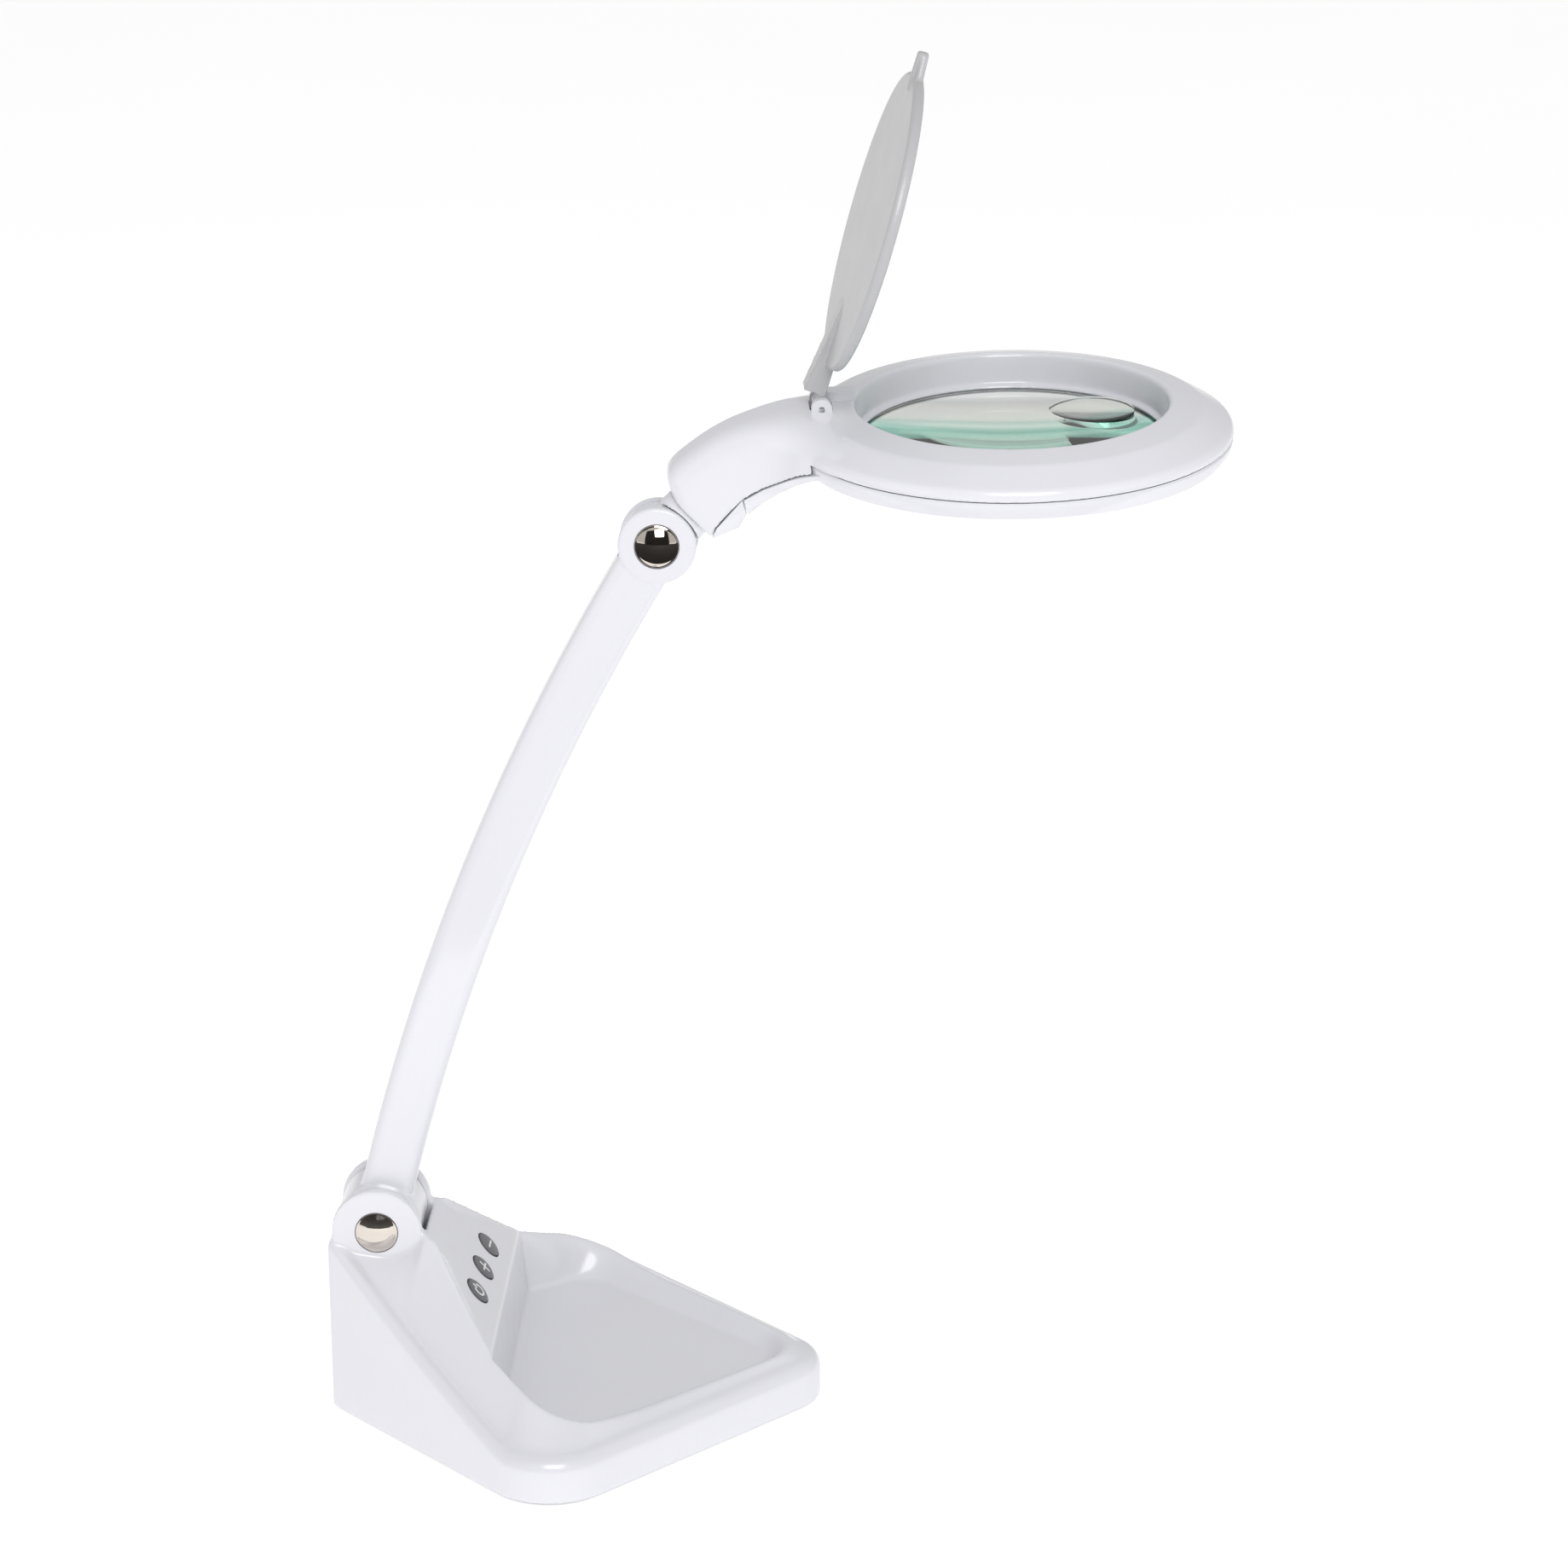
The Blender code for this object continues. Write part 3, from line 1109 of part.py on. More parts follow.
# ---------------------------------------------------------------- assembly
def build():
    clear_scene()
    base_housing()
    base_bottom_plate()
    feet()
    base_screws()
    ballast_plate()
    control_board()
    buttons()
    dc_socket()
    hinge_set("lower_hinge", BOLT_RADIUS, BOLT_HEAD_RADIUS, BOLT_HEAD, BACK_HALF, SLOT_HALF,
              BARREL_RADIUS - RUN, None, HINGE)

    arm = empty("arm_axis", HINGE)
    arm_sleeve(arm)
    arm_inside(arm)
    hinge_set("upper_hinge", UPPER_BOLT_RADIUS, UPPER_BOLT_HEAD_RADIUS, UPPER_BOLT_HEAD, UPPER_HALF,
              UPPER_HALF - UPPER_DISC, UPPER_RADIUS * 0.8, arm, upper_offset())

    tilt = empty("tilt_axis", upper_offset(), arm, Matrix.Rotation(TILT_REST, 3, "X").to_quaternion())
    head_knuckle(tilt)
    turn = Matrix.Rotation(SWIVEL_REST, 3, SWIVEL_AXIS).to_quaternion()
    swivel = empty("swivel_axis", (0, 0, 0), tilt, turn)
    head_top_shell(swivel)
    head_bottom_shell(swivel)
    neck_cover(swivel)
    lens_parts(swivel)
    light_parts(swivel)
    lid_pin(swivel)
    lid_turn = Matrix.Rotation(LID_REST, 3, "X").to_quaternion()
    lid_axis = empty("lid_axis", lid_hinge(), swivel, lid_turn)
    lid(lid_axis)


build()
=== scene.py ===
# %% [markdown]
# # A magnifying desk lamp, piece by piece
# The lamp has four main mouldings: a tray base, a curved arm, a ring-shaped head
# and a lid over the lens. Small metal parts and a lighted ring finish it.
# The imported CAD model is the frame. It says where each joint and each node is,
# so the script starts by loading it.

# %% Load the frame
import json
import math

import bmesh
import bpy
from mathutils import Matrix, Vector


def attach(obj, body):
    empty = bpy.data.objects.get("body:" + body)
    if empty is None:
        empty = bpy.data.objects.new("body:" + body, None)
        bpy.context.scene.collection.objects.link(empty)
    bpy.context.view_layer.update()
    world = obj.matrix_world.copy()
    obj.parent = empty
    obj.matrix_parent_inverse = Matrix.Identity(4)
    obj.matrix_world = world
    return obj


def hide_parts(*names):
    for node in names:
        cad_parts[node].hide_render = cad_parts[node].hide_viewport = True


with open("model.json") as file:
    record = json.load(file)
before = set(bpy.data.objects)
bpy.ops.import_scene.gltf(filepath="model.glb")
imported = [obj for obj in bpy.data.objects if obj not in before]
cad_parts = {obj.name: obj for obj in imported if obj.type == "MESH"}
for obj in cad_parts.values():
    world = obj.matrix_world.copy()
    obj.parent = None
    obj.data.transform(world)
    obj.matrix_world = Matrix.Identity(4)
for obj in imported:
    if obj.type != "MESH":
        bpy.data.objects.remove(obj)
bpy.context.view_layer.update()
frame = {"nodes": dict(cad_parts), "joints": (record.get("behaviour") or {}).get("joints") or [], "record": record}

scene = bpy.context.scene
JOINTS = {joint["name"]: joint for joint in frame["joints"]}
print("joints:", ", ".join(JOINTS))

# %% [markdown]
# ## Camera
# A long lens far away keeps the lamp's uprights nearly parallel. The camera looks
# at the lamp's left side from a little above, with the tray pointing to the right.

# %% The camera
CAMERA_PLACE = Vector((-1.34962, -0.18647, 0.67713))
CAMERA_AIM = Vector((0.0, -0.14406, 0.23292))
camera_data = bpy.data.cameras.new("studio_camera")
camera_data.lens, camera_data.sensor_width = 94.62, 36.0
camera = bpy.data.objects.new("studio_camera", camera_data)
scene.collection.objects.link(camera)
camera.location = CAMERA_PLACE
camera.rotation_euler = (CAMERA_AIM - CAMERA_PLACE).to_track_quat("-Z", "Y").to_euler()
camera_data.clip_start, camera_data.clip_end = 0.05, 60.0
scene.camera = camera
print("camera is", round((CAMERA_AIM - CAMERA_PLACE).length, 3), "m away")

# %% [markdown]
# ## Shader maths
# A material here is a small program of nodes. Wrapping each socket in a class with
# Python's own operators lets the sums be written as sums, such as `1 - mask`.
# Every other node comes from one method, which sets the node up, then fills sockets.

# %% Value and Finish
class Value:
    """A number on a wire. Arithmetic on it adds Math nodes to its tree."""

    def __init__(self, finish, socket):
        self.finish = finish
        self.socket = socket

    def maths(self, operation, *terms):
        node = self.finish.node("ShaderNodeMath", {"operation": operation}, dict(enumerate(terms)))
        return Value(self.finish, node.outputs[0])

    def __add__(self, other):
        return self.maths("ADD", self, other)

    def __sub__(self, other):
        return self.maths("SUBTRACT", self, other)

    def __rsub__(self, other):
        return self.maths("SUBTRACT", other, self)

    def __mul__(self, other):
        return self.maths("MULTIPLY", self, other)

    def __gt__(self, other):
        return self.maths("GREATER_THAN", self, other)

    __radd__ = __add__
    __rmul__ = __mul__


class Graph:
    """A node tree, with a single method that adds any node to it."""

    def fill(self, socket, value):
        if isinstance(value, Value):
            value = value.socket
        if isinstance(value, bpy.types.NodeSocket):
            self.tree.links.new(value, socket)
        else:
            socket.default_value = value

    def node(self, kind, settings=None, sockets=None):
        node = self.tree.nodes.new(kind)
        for name, value in (settings or {}).items():
            if name == "stops":
                elements = node.color_ramp.elements
                elements.remove(elements[0])
                elements[0].position, elements[0].color = value[0][0], (*value[0][1], 1)
                for position, colour in value[1:]:
                    elements.new(position).color = (*colour, 1)
            else:
                setattr(node, name, value)
        for name, value in (sockets or {}).items():
            self.fill(node.inputs[name], value)
        return node


class Finish(Graph):
    """One material on the standard shader. Fixed values go straight onto its sockets."""

    def __init__(self, name, roughness, **fixed):
        self.material = bpy.data.materials.new(name)
        self.material.use_nodes = True
        self.tree = self.material.node_tree
        self.shader = self.tree.nodes["Principled BSDF"]
        self.shader.inputs["Roughness"].default_value = roughness
        for socket, value in fixed.items():
            self.shader.inputs[socket.replace("_", " ")].default_value = value
        self.place = self.node("ShaderNodeTexCoord").outputs["Object"]

    def noise(self, scale, detail=3.0):
        """Cloudy value from 0 to 1. The scale counts features in a metre."""
        sockets = {"Vector": self.place, "Scale": scale, "Detail": detail}
        return Value(self, self.node("ShaderNodeTexNoise", None, sockets).outputs[0])

    def wear(self, socket, value):
        """Lets a value vary over the surface."""
        self.fill(self.shader.inputs[socket], value)

    def tint(self, share, low, high):
        """Lets the colour drift between two colours."""
        drift = self.node("ShaderNodeMix", {"data_type": "RGBA"}, {0: share, 6: (*low, 1), 7: (*high, 1)})
        self.wear("Base Color", drift.outputs[2])

    def relief(self, height, depth, strength=1.0):
        """Fine bumps of a depth in metres."""
        sockets = {"Strength": strength, "Distance": depth, "Height": height}
        self.wear("Normal", self.node("ShaderNodeBump", None, sockets).outputs["Normal"])


print("shader helpers ready")

# %% [markdown]
# ## Finishes
# Glossy ABS plastic is never one flat colour. Its tone drifts a little over a
# moulding, its gloss is broken by a faint orange peel, and it picks up fine dust.
# Each finish below is noise at two or three real scales, feeding colour, roughness
# and bump. The scales are features in a metre: 30 is a drift over 3 cm, 2500 is grain.

# %% Plastics
def plastic(name, low, high, roughness, grain=1600.0, depth=0.00002, coat=0.0, dust=0.05):
    made = Finish(name, roughness, Coat_Weight=coat, Coat_Roughness=0.12)
    drift = made.noise(26.0)
    specks = made.noise(420.0, 5.0)
    made.tint(drift * 0.7 + specks * 0.3, low, high)
    made.wear("Roughness", made.noise(90.0) * (2 * dust) + (roughness - dust))
    made.relief(made.noise(grain) * 0.4 + made.noise(grain / 7) * 0.6, depth)
    return made.material


PEEL, PEEL_DEPTH = 900.0, 0.00003
white_gloss = plastic("white_gloss", (0.715, 0.715, 0.760), (0.755, 0.755, 0.795), 0.23, PEEL, PEEL_DEPTH, 0.35)
lid_gloss = plastic("lid_gloss", (0.44, 0.44, 0.45), (0.48, 0.48, 0.49), 0.32, PEEL, PEEL_DEPTH, 0.15)
tray_satin = plastic("tray_satin", (0.20, 0.20, 0.21), (0.26, 0.26, 0.27), 0.5, 2600.0, 0.00008)
black_satin = plastic("black_satin", (0.010, 0.010, 0.011), (0.020, 0.020, 0.022), 0.42, 2600.0, 0.00006)
key_grey = plastic("key_grey", (0.115, 0.115, 0.125), (0.145, 0.145, 0.155), 0.40, 2600.0, 0.00005)
print_white = plastic("print_white", (0.72, 0.72, 0.73), (0.80, 0.80, 0.81), 0.45)
board_white = plastic("board_white", (0.66, 0.68, 0.65), (0.74, 0.76, 0.73), 0.38, 1200.0, 0.00002, 0.1)
lamp_body = plastic("lamp_body", (0.70, 0.70, 0.68), (0.78, 0.78, 0.76), 0.35)
phosphor = plastic("phosphor", (0.72, 0.50, 0.06), (0.84, 0.64, 0.12), 0.55)
board_green = plastic("board_green", (0.010, 0.11, 0.045), (0.018, 0.16, 0.07), 0.35, 1200.0, 0.00002, 0.2)
sole_rubber = plastic("sole_rubber", (0.012, 0.012, 0.012), (0.028, 0.028, 0.027), 0.78, 1800.0, 0.00014,
                      dust=0.08)
print("plastics:", len(bpy.data.materials))


# %% Metals and glass
def metal(name, low, high, roughness, streaks=0.04):
    made = Finish(name, roughness, Metallic=1.0)
    haze = made.noise(160.0, 4.0)
    made.tint(haze, low, high)
    made.wear("Roughness", made.noise(1500.0) * streaks + (roughness - streaks / 2))
    made.relief(made.noise(700.0), 0.00001, 0.5)
    return made.material


def clear(name, low, high, roughness, passing, index):
    made = Finish(name, roughness, Transmission_Weight=passing, IOR=index)
    made.tint(made.noise(18.0), low, high)
    made.relief(made.noise(RIPPLE), RIPPLE_DEPTH, 0.3)
    return made.material


RIPPLE, RIPPLE_DEPTH = 60.0, 0.000004
# Painted reflection: the chrome's warm beige colour stands in for a beige table reflected in the caps.
chrome_with_painted_table_tint = metal("chrome_with_painted_table_tint", (0.66, 0.60, 0.54), (0.74, 0.68, 0.62), 0.05, 0.03)
zinc_steel = metal("zinc_steel", (0.55, 0.56, 0.58), (0.68, 0.69, 0.70), 0.32, 0.12)


def glass_with_painted_refraction():
    """Lens glass: its own faint green tint, with painted refraction of the rim and lighted ring as curved light
    and dark bands, greenest at the near edge.
    """
    made = Finish("lens_glass", 0.01, Transmission_Weight=1.0, IOR=1.52)
    apart = made.node("ShaderNodeSeparateXYZ", None, {0: made.place})
    x, y = Value(made, apart.outputs[0]), Value(made, apart.outputs[1])
    bow = (y - LENS_CENTRE[1]) * (y - LENS_CENTRE[1])
    # Here depth is not the glass's thickness: it places the painted refraction bands, lowest at the near edge and
    # curving round the centre.
    depth = (x - LENS_CENTRE[0]) * 10.0 + bow * -80.0 + 0.5 + made.noise(22.0, 1.0) * 0.06
    bands = made.node("ShaderNodeValToRGB", {"stops": PAINTED_REFRACTION_BANDS}, {0: depth})
    made.wear("Base Color", bands.outputs[0])
    made.relief(made.noise(RIPPLE), RIPPLE_DEPTH, 0.3)
    return made.material


LENS_CENTRE = Vector((0.0067, -0.2206))
# Painted refraction: these light and dark stops stand in for the rim and the lighted ring seen through the lens.
PAINTED_REFRACTION_BANDS = ((0.00, (0.13, 0.46, 0.33)), (0.30, (0.24, 0.57, 0.44)), (0.40, (0.36, 0.69, 0.56)),
               (0.44, (0.11, 0.40, 0.29)), (0.50, (0.50, 0.76, 0.66)), (0.54, (0.30, 0.52, 0.44)),
               (0.58, (0.64, 0.68, 0.63)), (0.78, (0.60, 0.60, 0.56)), (0.86, (0.46, 0.47, 0.46)),
               (0.90, (0.70, 0.71, 0.69)))
painted_refraction_glass = glass_with_painted_refraction()
frosted = clear("frosted", (0.86, 0.87, 0.86), (0.92, 0.93, 0.92), 0.42, 0.55, 1.49)
print("all finishes:", len(bpy.data.materials))

# %% [markdown]
# ## Mesh helpers
# Most mouldings here are lofts (a row of outlines skinned together), turned
# outlines, and cuts. Real mouldings have no sharp edges, so a main shape is melted:
# a voxel remesh joins its overlapping solids, then smoothing rounds every edge and
# blends every join. Crisp things, such as gaps and seats, are cut after that.

# %% Lofts, turned shapes and prisms
def mix(a, b, t):
    return a + (b - a) * t


def smooth(t):
    t = min(max(t, 0.0), 1.0)
    return t * t * (3 - 2 * t)


def arc(centre, radius, start, end, count):
    """Points on an arc, angles in degrees, both ends included."""
    angles = (math.radians(mix(start, end, i / (count - 1))) for i in range(count))
    return [(centre[0] + radius * math.cos(a), centre[1] + radius * math.sin(a)) for a in angles]


def lofted(loops):
    """Skin a row of loops that have the same number of points. Ends are capped."""
    bm = bmesh.new()
    rows = [[bm.verts.new(p) for p in loop] for loop in loops]
    count = len(rows[0])
    for low, high in zip(rows, rows[1:]):
        for i in range(count):
            j = (i + 1) % count
            bm.faces.new((low[i], low[j], high[j], high[i]))
    bm.faces.new(rows[0])
    bm.faces.new(rows[-1])
    return bm


def turned(profile, steps=96):
    """Turn a closed (radius, height) outline round Z. A radius of zero is a pole."""
    bm = bmesh.new()
    rows = []
    for radius, height in profile:
        if radius < 1e-7:
            rows.append([bm.verts.new((0, 0, height))] * steps)
            continue
        angles = (math.tau * i / steps for i in range(steps))
        rows.append([bm.verts.new((radius * math.cos(a), radius * math.sin(a), height)) for a in angles])
    for low, high in zip(rows, rows[1:] + rows[:1]):
        for i in range(steps):
            j = (i + 1) % steps
            corners = list(dict.fromkeys((low[i], low[j], high[j], high[i])))
            if len(corners) > 2:
                bm.faces.new(corners)
    return bm


def prism(outline, low, high):
    """A straight prism along Z."""
    return lofted([[(x, y, z) for x, y in outline] for z in (low, high)])


def block(low, high):
    corners = ((low[0], low[1]), (high[0], low[1]), (high[0], high[1]), (low[0], high[1]))
    return prism(corners, low[2], high[2])


def disc(radius, low, high, steps=64, ease=0.0):
    """A plain cylinder, or one with its two edges rounded by ease."""
    if not ease:
        return turned(((0, low), (radius, low), (radius, high), (0, high)), steps)
    foot = arc((radius - ease, low + ease), ease, -90, 0, 5)
    head = arc((radius - ease, high - ease), ease, 0, 90, 5)
    return turned([(0, low)] + foot + head + [(0, high)], steps)


def tube(inner, outer, low, high, steps=96):
    return turned(((inner, low), (outer, low), (outer, high), (inner, high)), steps)


def moved(bm, matrix):
    bmesh.ops.transform(bm, matrix=matrix, verts=bm.verts)
    return bm


def shift(x=0.0, y=0.0, z=0.0):
    return Matrix.Translation((x, y, z))


def across(place=(0, 0, 0), side=1):
    """Turns a Z-axis shape to lie along X through a place, pointing to the given side."""
    return Matrix.Translation(place) @ Matrix.Rotation(side * math.pi / 2, 4, "Y")


# %% Objects, cuts and melting
def new_object(name, bm, finish=None):
    """A mesh object whose faces point outwards."""
    bmesh.ops.recalc_face_normals(bm, faces=bm.faces)
    mesh = bpy.data.meshes.new(name)
    bm.to_mesh(mesh)
    bm.free()
    made = bpy.data.objects.new(name, mesh)
    scene.collection.objects.link(made)
    if finish:
        mesh.materials.append(finish)
    return made


def settle(piece):
    """Turn the object's modifiers into plain mesh."""
    bpy.context.view_layer.update()
    view = bpy.context.evaluated_depsgraph_get()
    mesh = bpy.data.meshes.new_from_object(piece.evaluated_get(view))
    piece.modifiers.clear()
    old = piece.data
    piece.data = mesh
    bpy.data.meshes.remove(old)
    return piece


def combine(piece, tools, operation="DIFFERENCE", solver="MANIFOLD"):
    """Cut tools from a piece, or join them to it. Each tool is a bmesh."""
    made = [new_object("tool", bm) for bm in tools]
    for tool in made:
        step = piece.modifiers.new("combine", "BOOLEAN")
        step.operation = operation
        step.solver = solver
        step.object = tool
    settle(piece)
    for tool in made:
        bpy.data.objects.remove(tool, do_unlink=True)
    return piece


def melted(name, solids, finish, voxel, rounds, carve=()):
    """Melt overlapping solids into one moulding with soft edges."""
    piece = new_object(name, solids[0], finish)
    if len(solids) > 1:
        combine(piece, solids[1:], "UNION")
    if carve:
        combine(piece, carve)
    remesh = piece.modifiers.new("melt", "REMESH")
    remesh.mode = "VOXEL"
    remesh.voxel_size = voxel
    ease = piece.modifiers.new("ease", "SMOOTH")
    ease.factor = 0.5
    ease.iterations = rounds
    settle(piece)
    if not piece.data.materials:
        piece.data.materials.append(finish)
    return piece


def shaded(piece, angle=38):
    """Smooth shading, with edges left crisp where faces meet at more than an angle."""
    piece.data.shade_smooth()
    piece.data.set_sharp_from_angle(angle=math.radians(angle))
    return piece


PIECES = []


def keep(piece, body, slot, *nodes):
    """The calls that tie a piece to the frame: what it rides on, its finish slot (not used), what it shows for."""
    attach(piece, body)
    if nodes:
        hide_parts(*nodes)
    PIECES.append(piece)
    print(f"{piece.name}: {len(piece.data.polygons)} faces on {body}")
    return piece


def repaint(node, finish):
    """Gives a CAD node that keeps its shape a better finish."""
    for material_slot in frame["nodes"][node].material_slots:
        material_slot.material = finish


GAP = 0.0003
RUN = 0.0005
LEFT, RIGHT = -1, 1
print("mesh helpers ready")

# %% [markdown]
# ## Tray base: its outline
# From above the base is a square standing on one corner, with its back corner cut
# off by the hinge column. The outline, the rim's crest and the tray's edge are three
# loops with the same number of points, so that they can be skinned together.

# %% Sizes of the base
BASE_HALF = 0.0995
BACK_HALF = 0.0165
BACK_Y = 0.0177
HINGE_HEIGHT = JOINTS["arm_tilt"]["pos_m"][2]
HINGE = Vector((0, 0, HINGE_HEIGHT))
FOOT_PROUD = 0.0012
BASE_WALL = 0.0025
BACK_CORNER, SIDE_CORNER, FRONT_CORNER = 0.0030, 0.0250, 0.0180
RIM_FRONT, RIM_BACK, RIM_LEVEL_Y, RIM_ROUND, RIM_STRAIGHT = 0.0180, 0.0690, -0.0500, 0.0060, 0.78
CHEEK_DIP_Y, CAP_MARGIN = -0.0030, 0.0012
TRAY_BACK_HALF, TRAY_FLOOR, TRAY_HALF = 0.0520, 0.0150, 0.0640
TRAY_SIDE_Y, TRAY_FRONT_Y, TRAY_CORNER = -0.0690, -0.1445, 0.0140
CREST_SIDE, CREST_SIDE_Y, CREST_FRONT_Y = 0.0810, -0.0680, -0.1540
CREST_HEIGHT, CREST_CORNER, WING_FALL, WING_POWER = 0.0205, 0.0180, 0.0560, 1.9
PANEL_TOP_Y, PANEL_FOOT_Y, PANEL_FOOT_Z, PANEL_FOOT_HALF = -0.0176, -0.0440, 0.0395, 0.0535
PANEL_TOP_Z = HINGE_HEIGHT
RISER_LEAN = 0.0030
CHEEK, BARREL_RADIUS, CHEEK_RADIUS, SLOT_CLEARANCE = 0.0046, 0.0152, 0.0160, 0.0012
CAP_RADIUS, CAP_SEAT, CAP_DOME, WASHER = 0.0075, 0.0010, 0.0022, 0.0008
SIDE_Y = BACK_Y - (BASE_HALF - BACK_HALF)
FRONT_Y = SIDE_Y - BASE_HALF
SQ2 = math.sqrt(2)
TUCK = 0.0009
BACK_STATIONS, CORNER_STATIONS, CHEEK_STATIONS, PANEL_STATIONS = 5, 5, 12, 10
WING_STATIONS, SIDE_STATIONS, FRONT_STATIONS, NOSE_STATIONS = 8, 15, 12, 10
print("base is", round(2 * BASE_HALF * 1000), "mm over its corners before rounding")


# %% Loops of the base
def between(a, b, t):
    return tuple(mix(p, q, t) for p, q in zip(a, b))


def spread(a, b, count):
    """Points strictly between two places."""
    return [between(a, b, i / (count + 1)) for i in range(1, count + 1)]


def rounded_corner(before, corner, after, radius, count):
    """Arc that rounds a corner of a left-turning path, tangent to both of its lines."""
    corner = Vector(corner)
    to_before = (Vector(before) - corner).normalized()
    to_after = (Vector(after) - corner).normalized()
    half = to_before.angle(to_after) / 2
    middle = corner + (to_before + to_after).normalized() * radius / math.sin(half)
    start = corner + to_before * radius / math.tan(half) - middle
    end = corner + to_after * radius / math.tan(half) - middle
    first = math.atan2(start.y, start.x)
    sweep = (math.atan2(end.y, end.x) - first) % math.tau
    angles = (first + sweep * i / (count - 1) for i in range(count))
    return [(middle.x + radius * math.cos(a), middle.y + radius * math.sin(a)) for a in angles]


def outline_half(inset):
    """Half of the base's plan, from the middle of its back, left about, to the front corner."""
    back_centre = (-BACK_HALF + BACK_CORNER * math.tan(math.pi / 8), BACK_Y - BACK_CORNER)
    side_centre = (-BASE_HALF + SIDE_CORNER * SQ2, SIDE_Y)
    nose_centre = (0.0, FRONT_Y + FRONT_CORNER * SQ2)
    back_arc = arc(back_centre, BACK_CORNER - inset, 90, 135, CORNER_STATIONS)
    side_arc = arc(side_centre, SIDE_CORNER - inset, 135, 225, SIDE_STATIONS)
    nose_arc = arc(nose_centre, FRONT_CORNER - inset, 225, 270, NOSE_STATIONS)
    middle = (0.0, back_arc[0][1])
    wing = CHEEK_STATIONS + PANEL_STATIONS + WING_STATIONS
    return ([middle] + spread(middle, back_arc[0], BACK_STATIONS - 1) + back_arc
            + spread(back_arc[-1], side_arc[0], wing) + side_arc
            + spread(side_arc[-1], nose_arc[0], FRONT_STATIONS) + nose_arc)


def panel_share(y):
    return (y - PANEL_TOP_Y) / (PANEL_FOOT_Y - PANEL_TOP_Y)


def panel_height(y):
    return mix(PANEL_TOP_Z, PANEL_FOOT_Z, panel_share(y))


def panel_half(y):
    return mix(BACK_HALF, PANEL_FOOT_HALF, min(max(panel_share(y), 0.0), 1.0))


def rim_height(y):
    """The outer edge is level in front and climbs to the column."""
    t = max(0.0, (y - RIM_LEVEL_Y) / (BACK_Y - RIM_LEVEL_Y))
    return mix(RIM_FRONT, RIM_BACK, RIM_STRAIGHT * t + (1 - RIM_STRAIGHT) * t * t)


def cheek_foot(y):
    """Where the wing's slope meets the cheek. It dips to pass below the cap."""
    low = HINGE_HEIGHT - CAP_RADIUS - CAP_MARGIN
    end, height = (BACK_Y, RIM_BACK) if y > CHEEK_DIP_Y else (PANEL_TOP_Y, PANEL_TOP_Z)
    t = (y - CHEEK_DIP_Y) / (end - CHEEK_DIP_Y)
    return mix(low, height, t * t)


def crest_half(down=0.0):
    """The inner edge of rim and wings, with the outline's stations."""
    inner_x = BACK_HALF - TUCK
    start = (-inner_x, BACK_Y - RIM_ROUND - TUCK)
    foot = (-PANEL_FOOT_HALF, PANEL_FOOT_Y)
    corner = (-CREST_SIDE, CREST_SIDE_Y)
    nose = (0.0, CREST_FRONT_Y)
    side_arc = rounded_corner(foot, corner, nose, CREST_CORNER, SIDE_STATIONS)
    nose_arc = rounded_corner(corner, nose, (CREST_SIDE, CREST_SIDE_Y), CREST_CORNER,
                              2 * NOSE_STATIONS - 1)[:NOSE_STATIONS]
    rear = BACK_STATIONS + CORNER_STATIONS
    back = [(mix(0, -inner_x, i / (rear - 1)), start[1]) for i in range(rear)]
    cheek = [between(start, (-inner_x, PANEL_TOP_Y), i / CHEEK_STATIONS) for i in range(1, CHEEK_STATIONS)]
    panel = [between((-BACK_HALF, PANEL_TOP_Y), foot, i / PANEL_STATIONS) for i in range(PANEL_STATIONS + 1)]
    rim = side_arc + spread(side_arc[-1], nose_arc[0], FRONT_STATIONS) + nose_arc
    points = [(x, y, cheek_foot(y)) for x, y in back + cheek]
    points += [(x, y, panel_height(y)) for x, y in panel]
    for x, y in spread(foot, side_arc[0], WING_STATIONS) + rim:
        t = min(1.0, (PANEL_FOOT_Y - y) / WING_FALL)
        points.append((x, y, mix(PANEL_FOOT_Z, CREST_HEIGHT, 1 - (1 - t) ** WING_POWER)))
    return [(x, y, z - down) for x, y, z in points]


def tray_half(out, height):
    """The tray floor's edge, moved out by a distance. Its back runs under the panel."""
    foot = (-TRAY_BACK_HALF - out, PANEL_FOOT_Y - RISER_LEAN)
    corner = (-TRAY_HALF - out, TRAY_SIDE_Y)
    nose = (0.0, TRAY_FRONT_Y - out)
    side_arc = rounded_corner(foot, corner, nose, TRAY_CORNER, SIDE_STATIONS)
    nose_arc = rounded_corner(corner, nose, (TRAY_HALF + out, TRAY_SIDE_Y), TRAY_CORNER,
                              2 * NOSE_STATIONS - 1)[:NOSE_STATIONS]
    hidden = BACK_STATIONS + CORNER_STATIONS + CHEEK_STATIONS + PANEL_STATIONS
    points = [(mix(0, foot[0], i / (hidden - 1)), foot[1] + TUCK) for i in range(hidden)]
    points += spread(foot, side_arc[0], WING_STATIONS) + side_arc
    points += spread(side_arc[-1], nose_arc[0], FRONT_STATIONS) + nose_arc
    return [(x, y, height) for x, y in points]


def whole(half):
    """Mirror half a loop into a whole one."""
    return half + [(-x, y, z) for x, y, z in reversed(half[1:-1])]


def rim_loop(inset, drop):
    return whole([(x, y, rim_height(y) - drop) for x, y in outline_half(inset)])


def flat_loop(inset, height):
    return whole([(x, y, height) for x, y in outline_half(inset)])


def eased(low, high, t, lift):
    """A loop between two others, lifted by a share of their difference in height."""
    return [(mix(a[0], b[0], t), mix(a[1], b[1], t), mix(a[2], b[2], lift)) for a, b in zip(low, high)]


print("outline points:", len(outline_half(0.0)) * 2)


# %% [markdown]
# ## Tray base: the moulding
# Three solids make the base: the skin of rim and tray, the hinge column, and the
# wedge under the control panel. They overlap, so they can be melted together.
# The inside is cut out afterwards, one wall thickness in, and so are the seats.

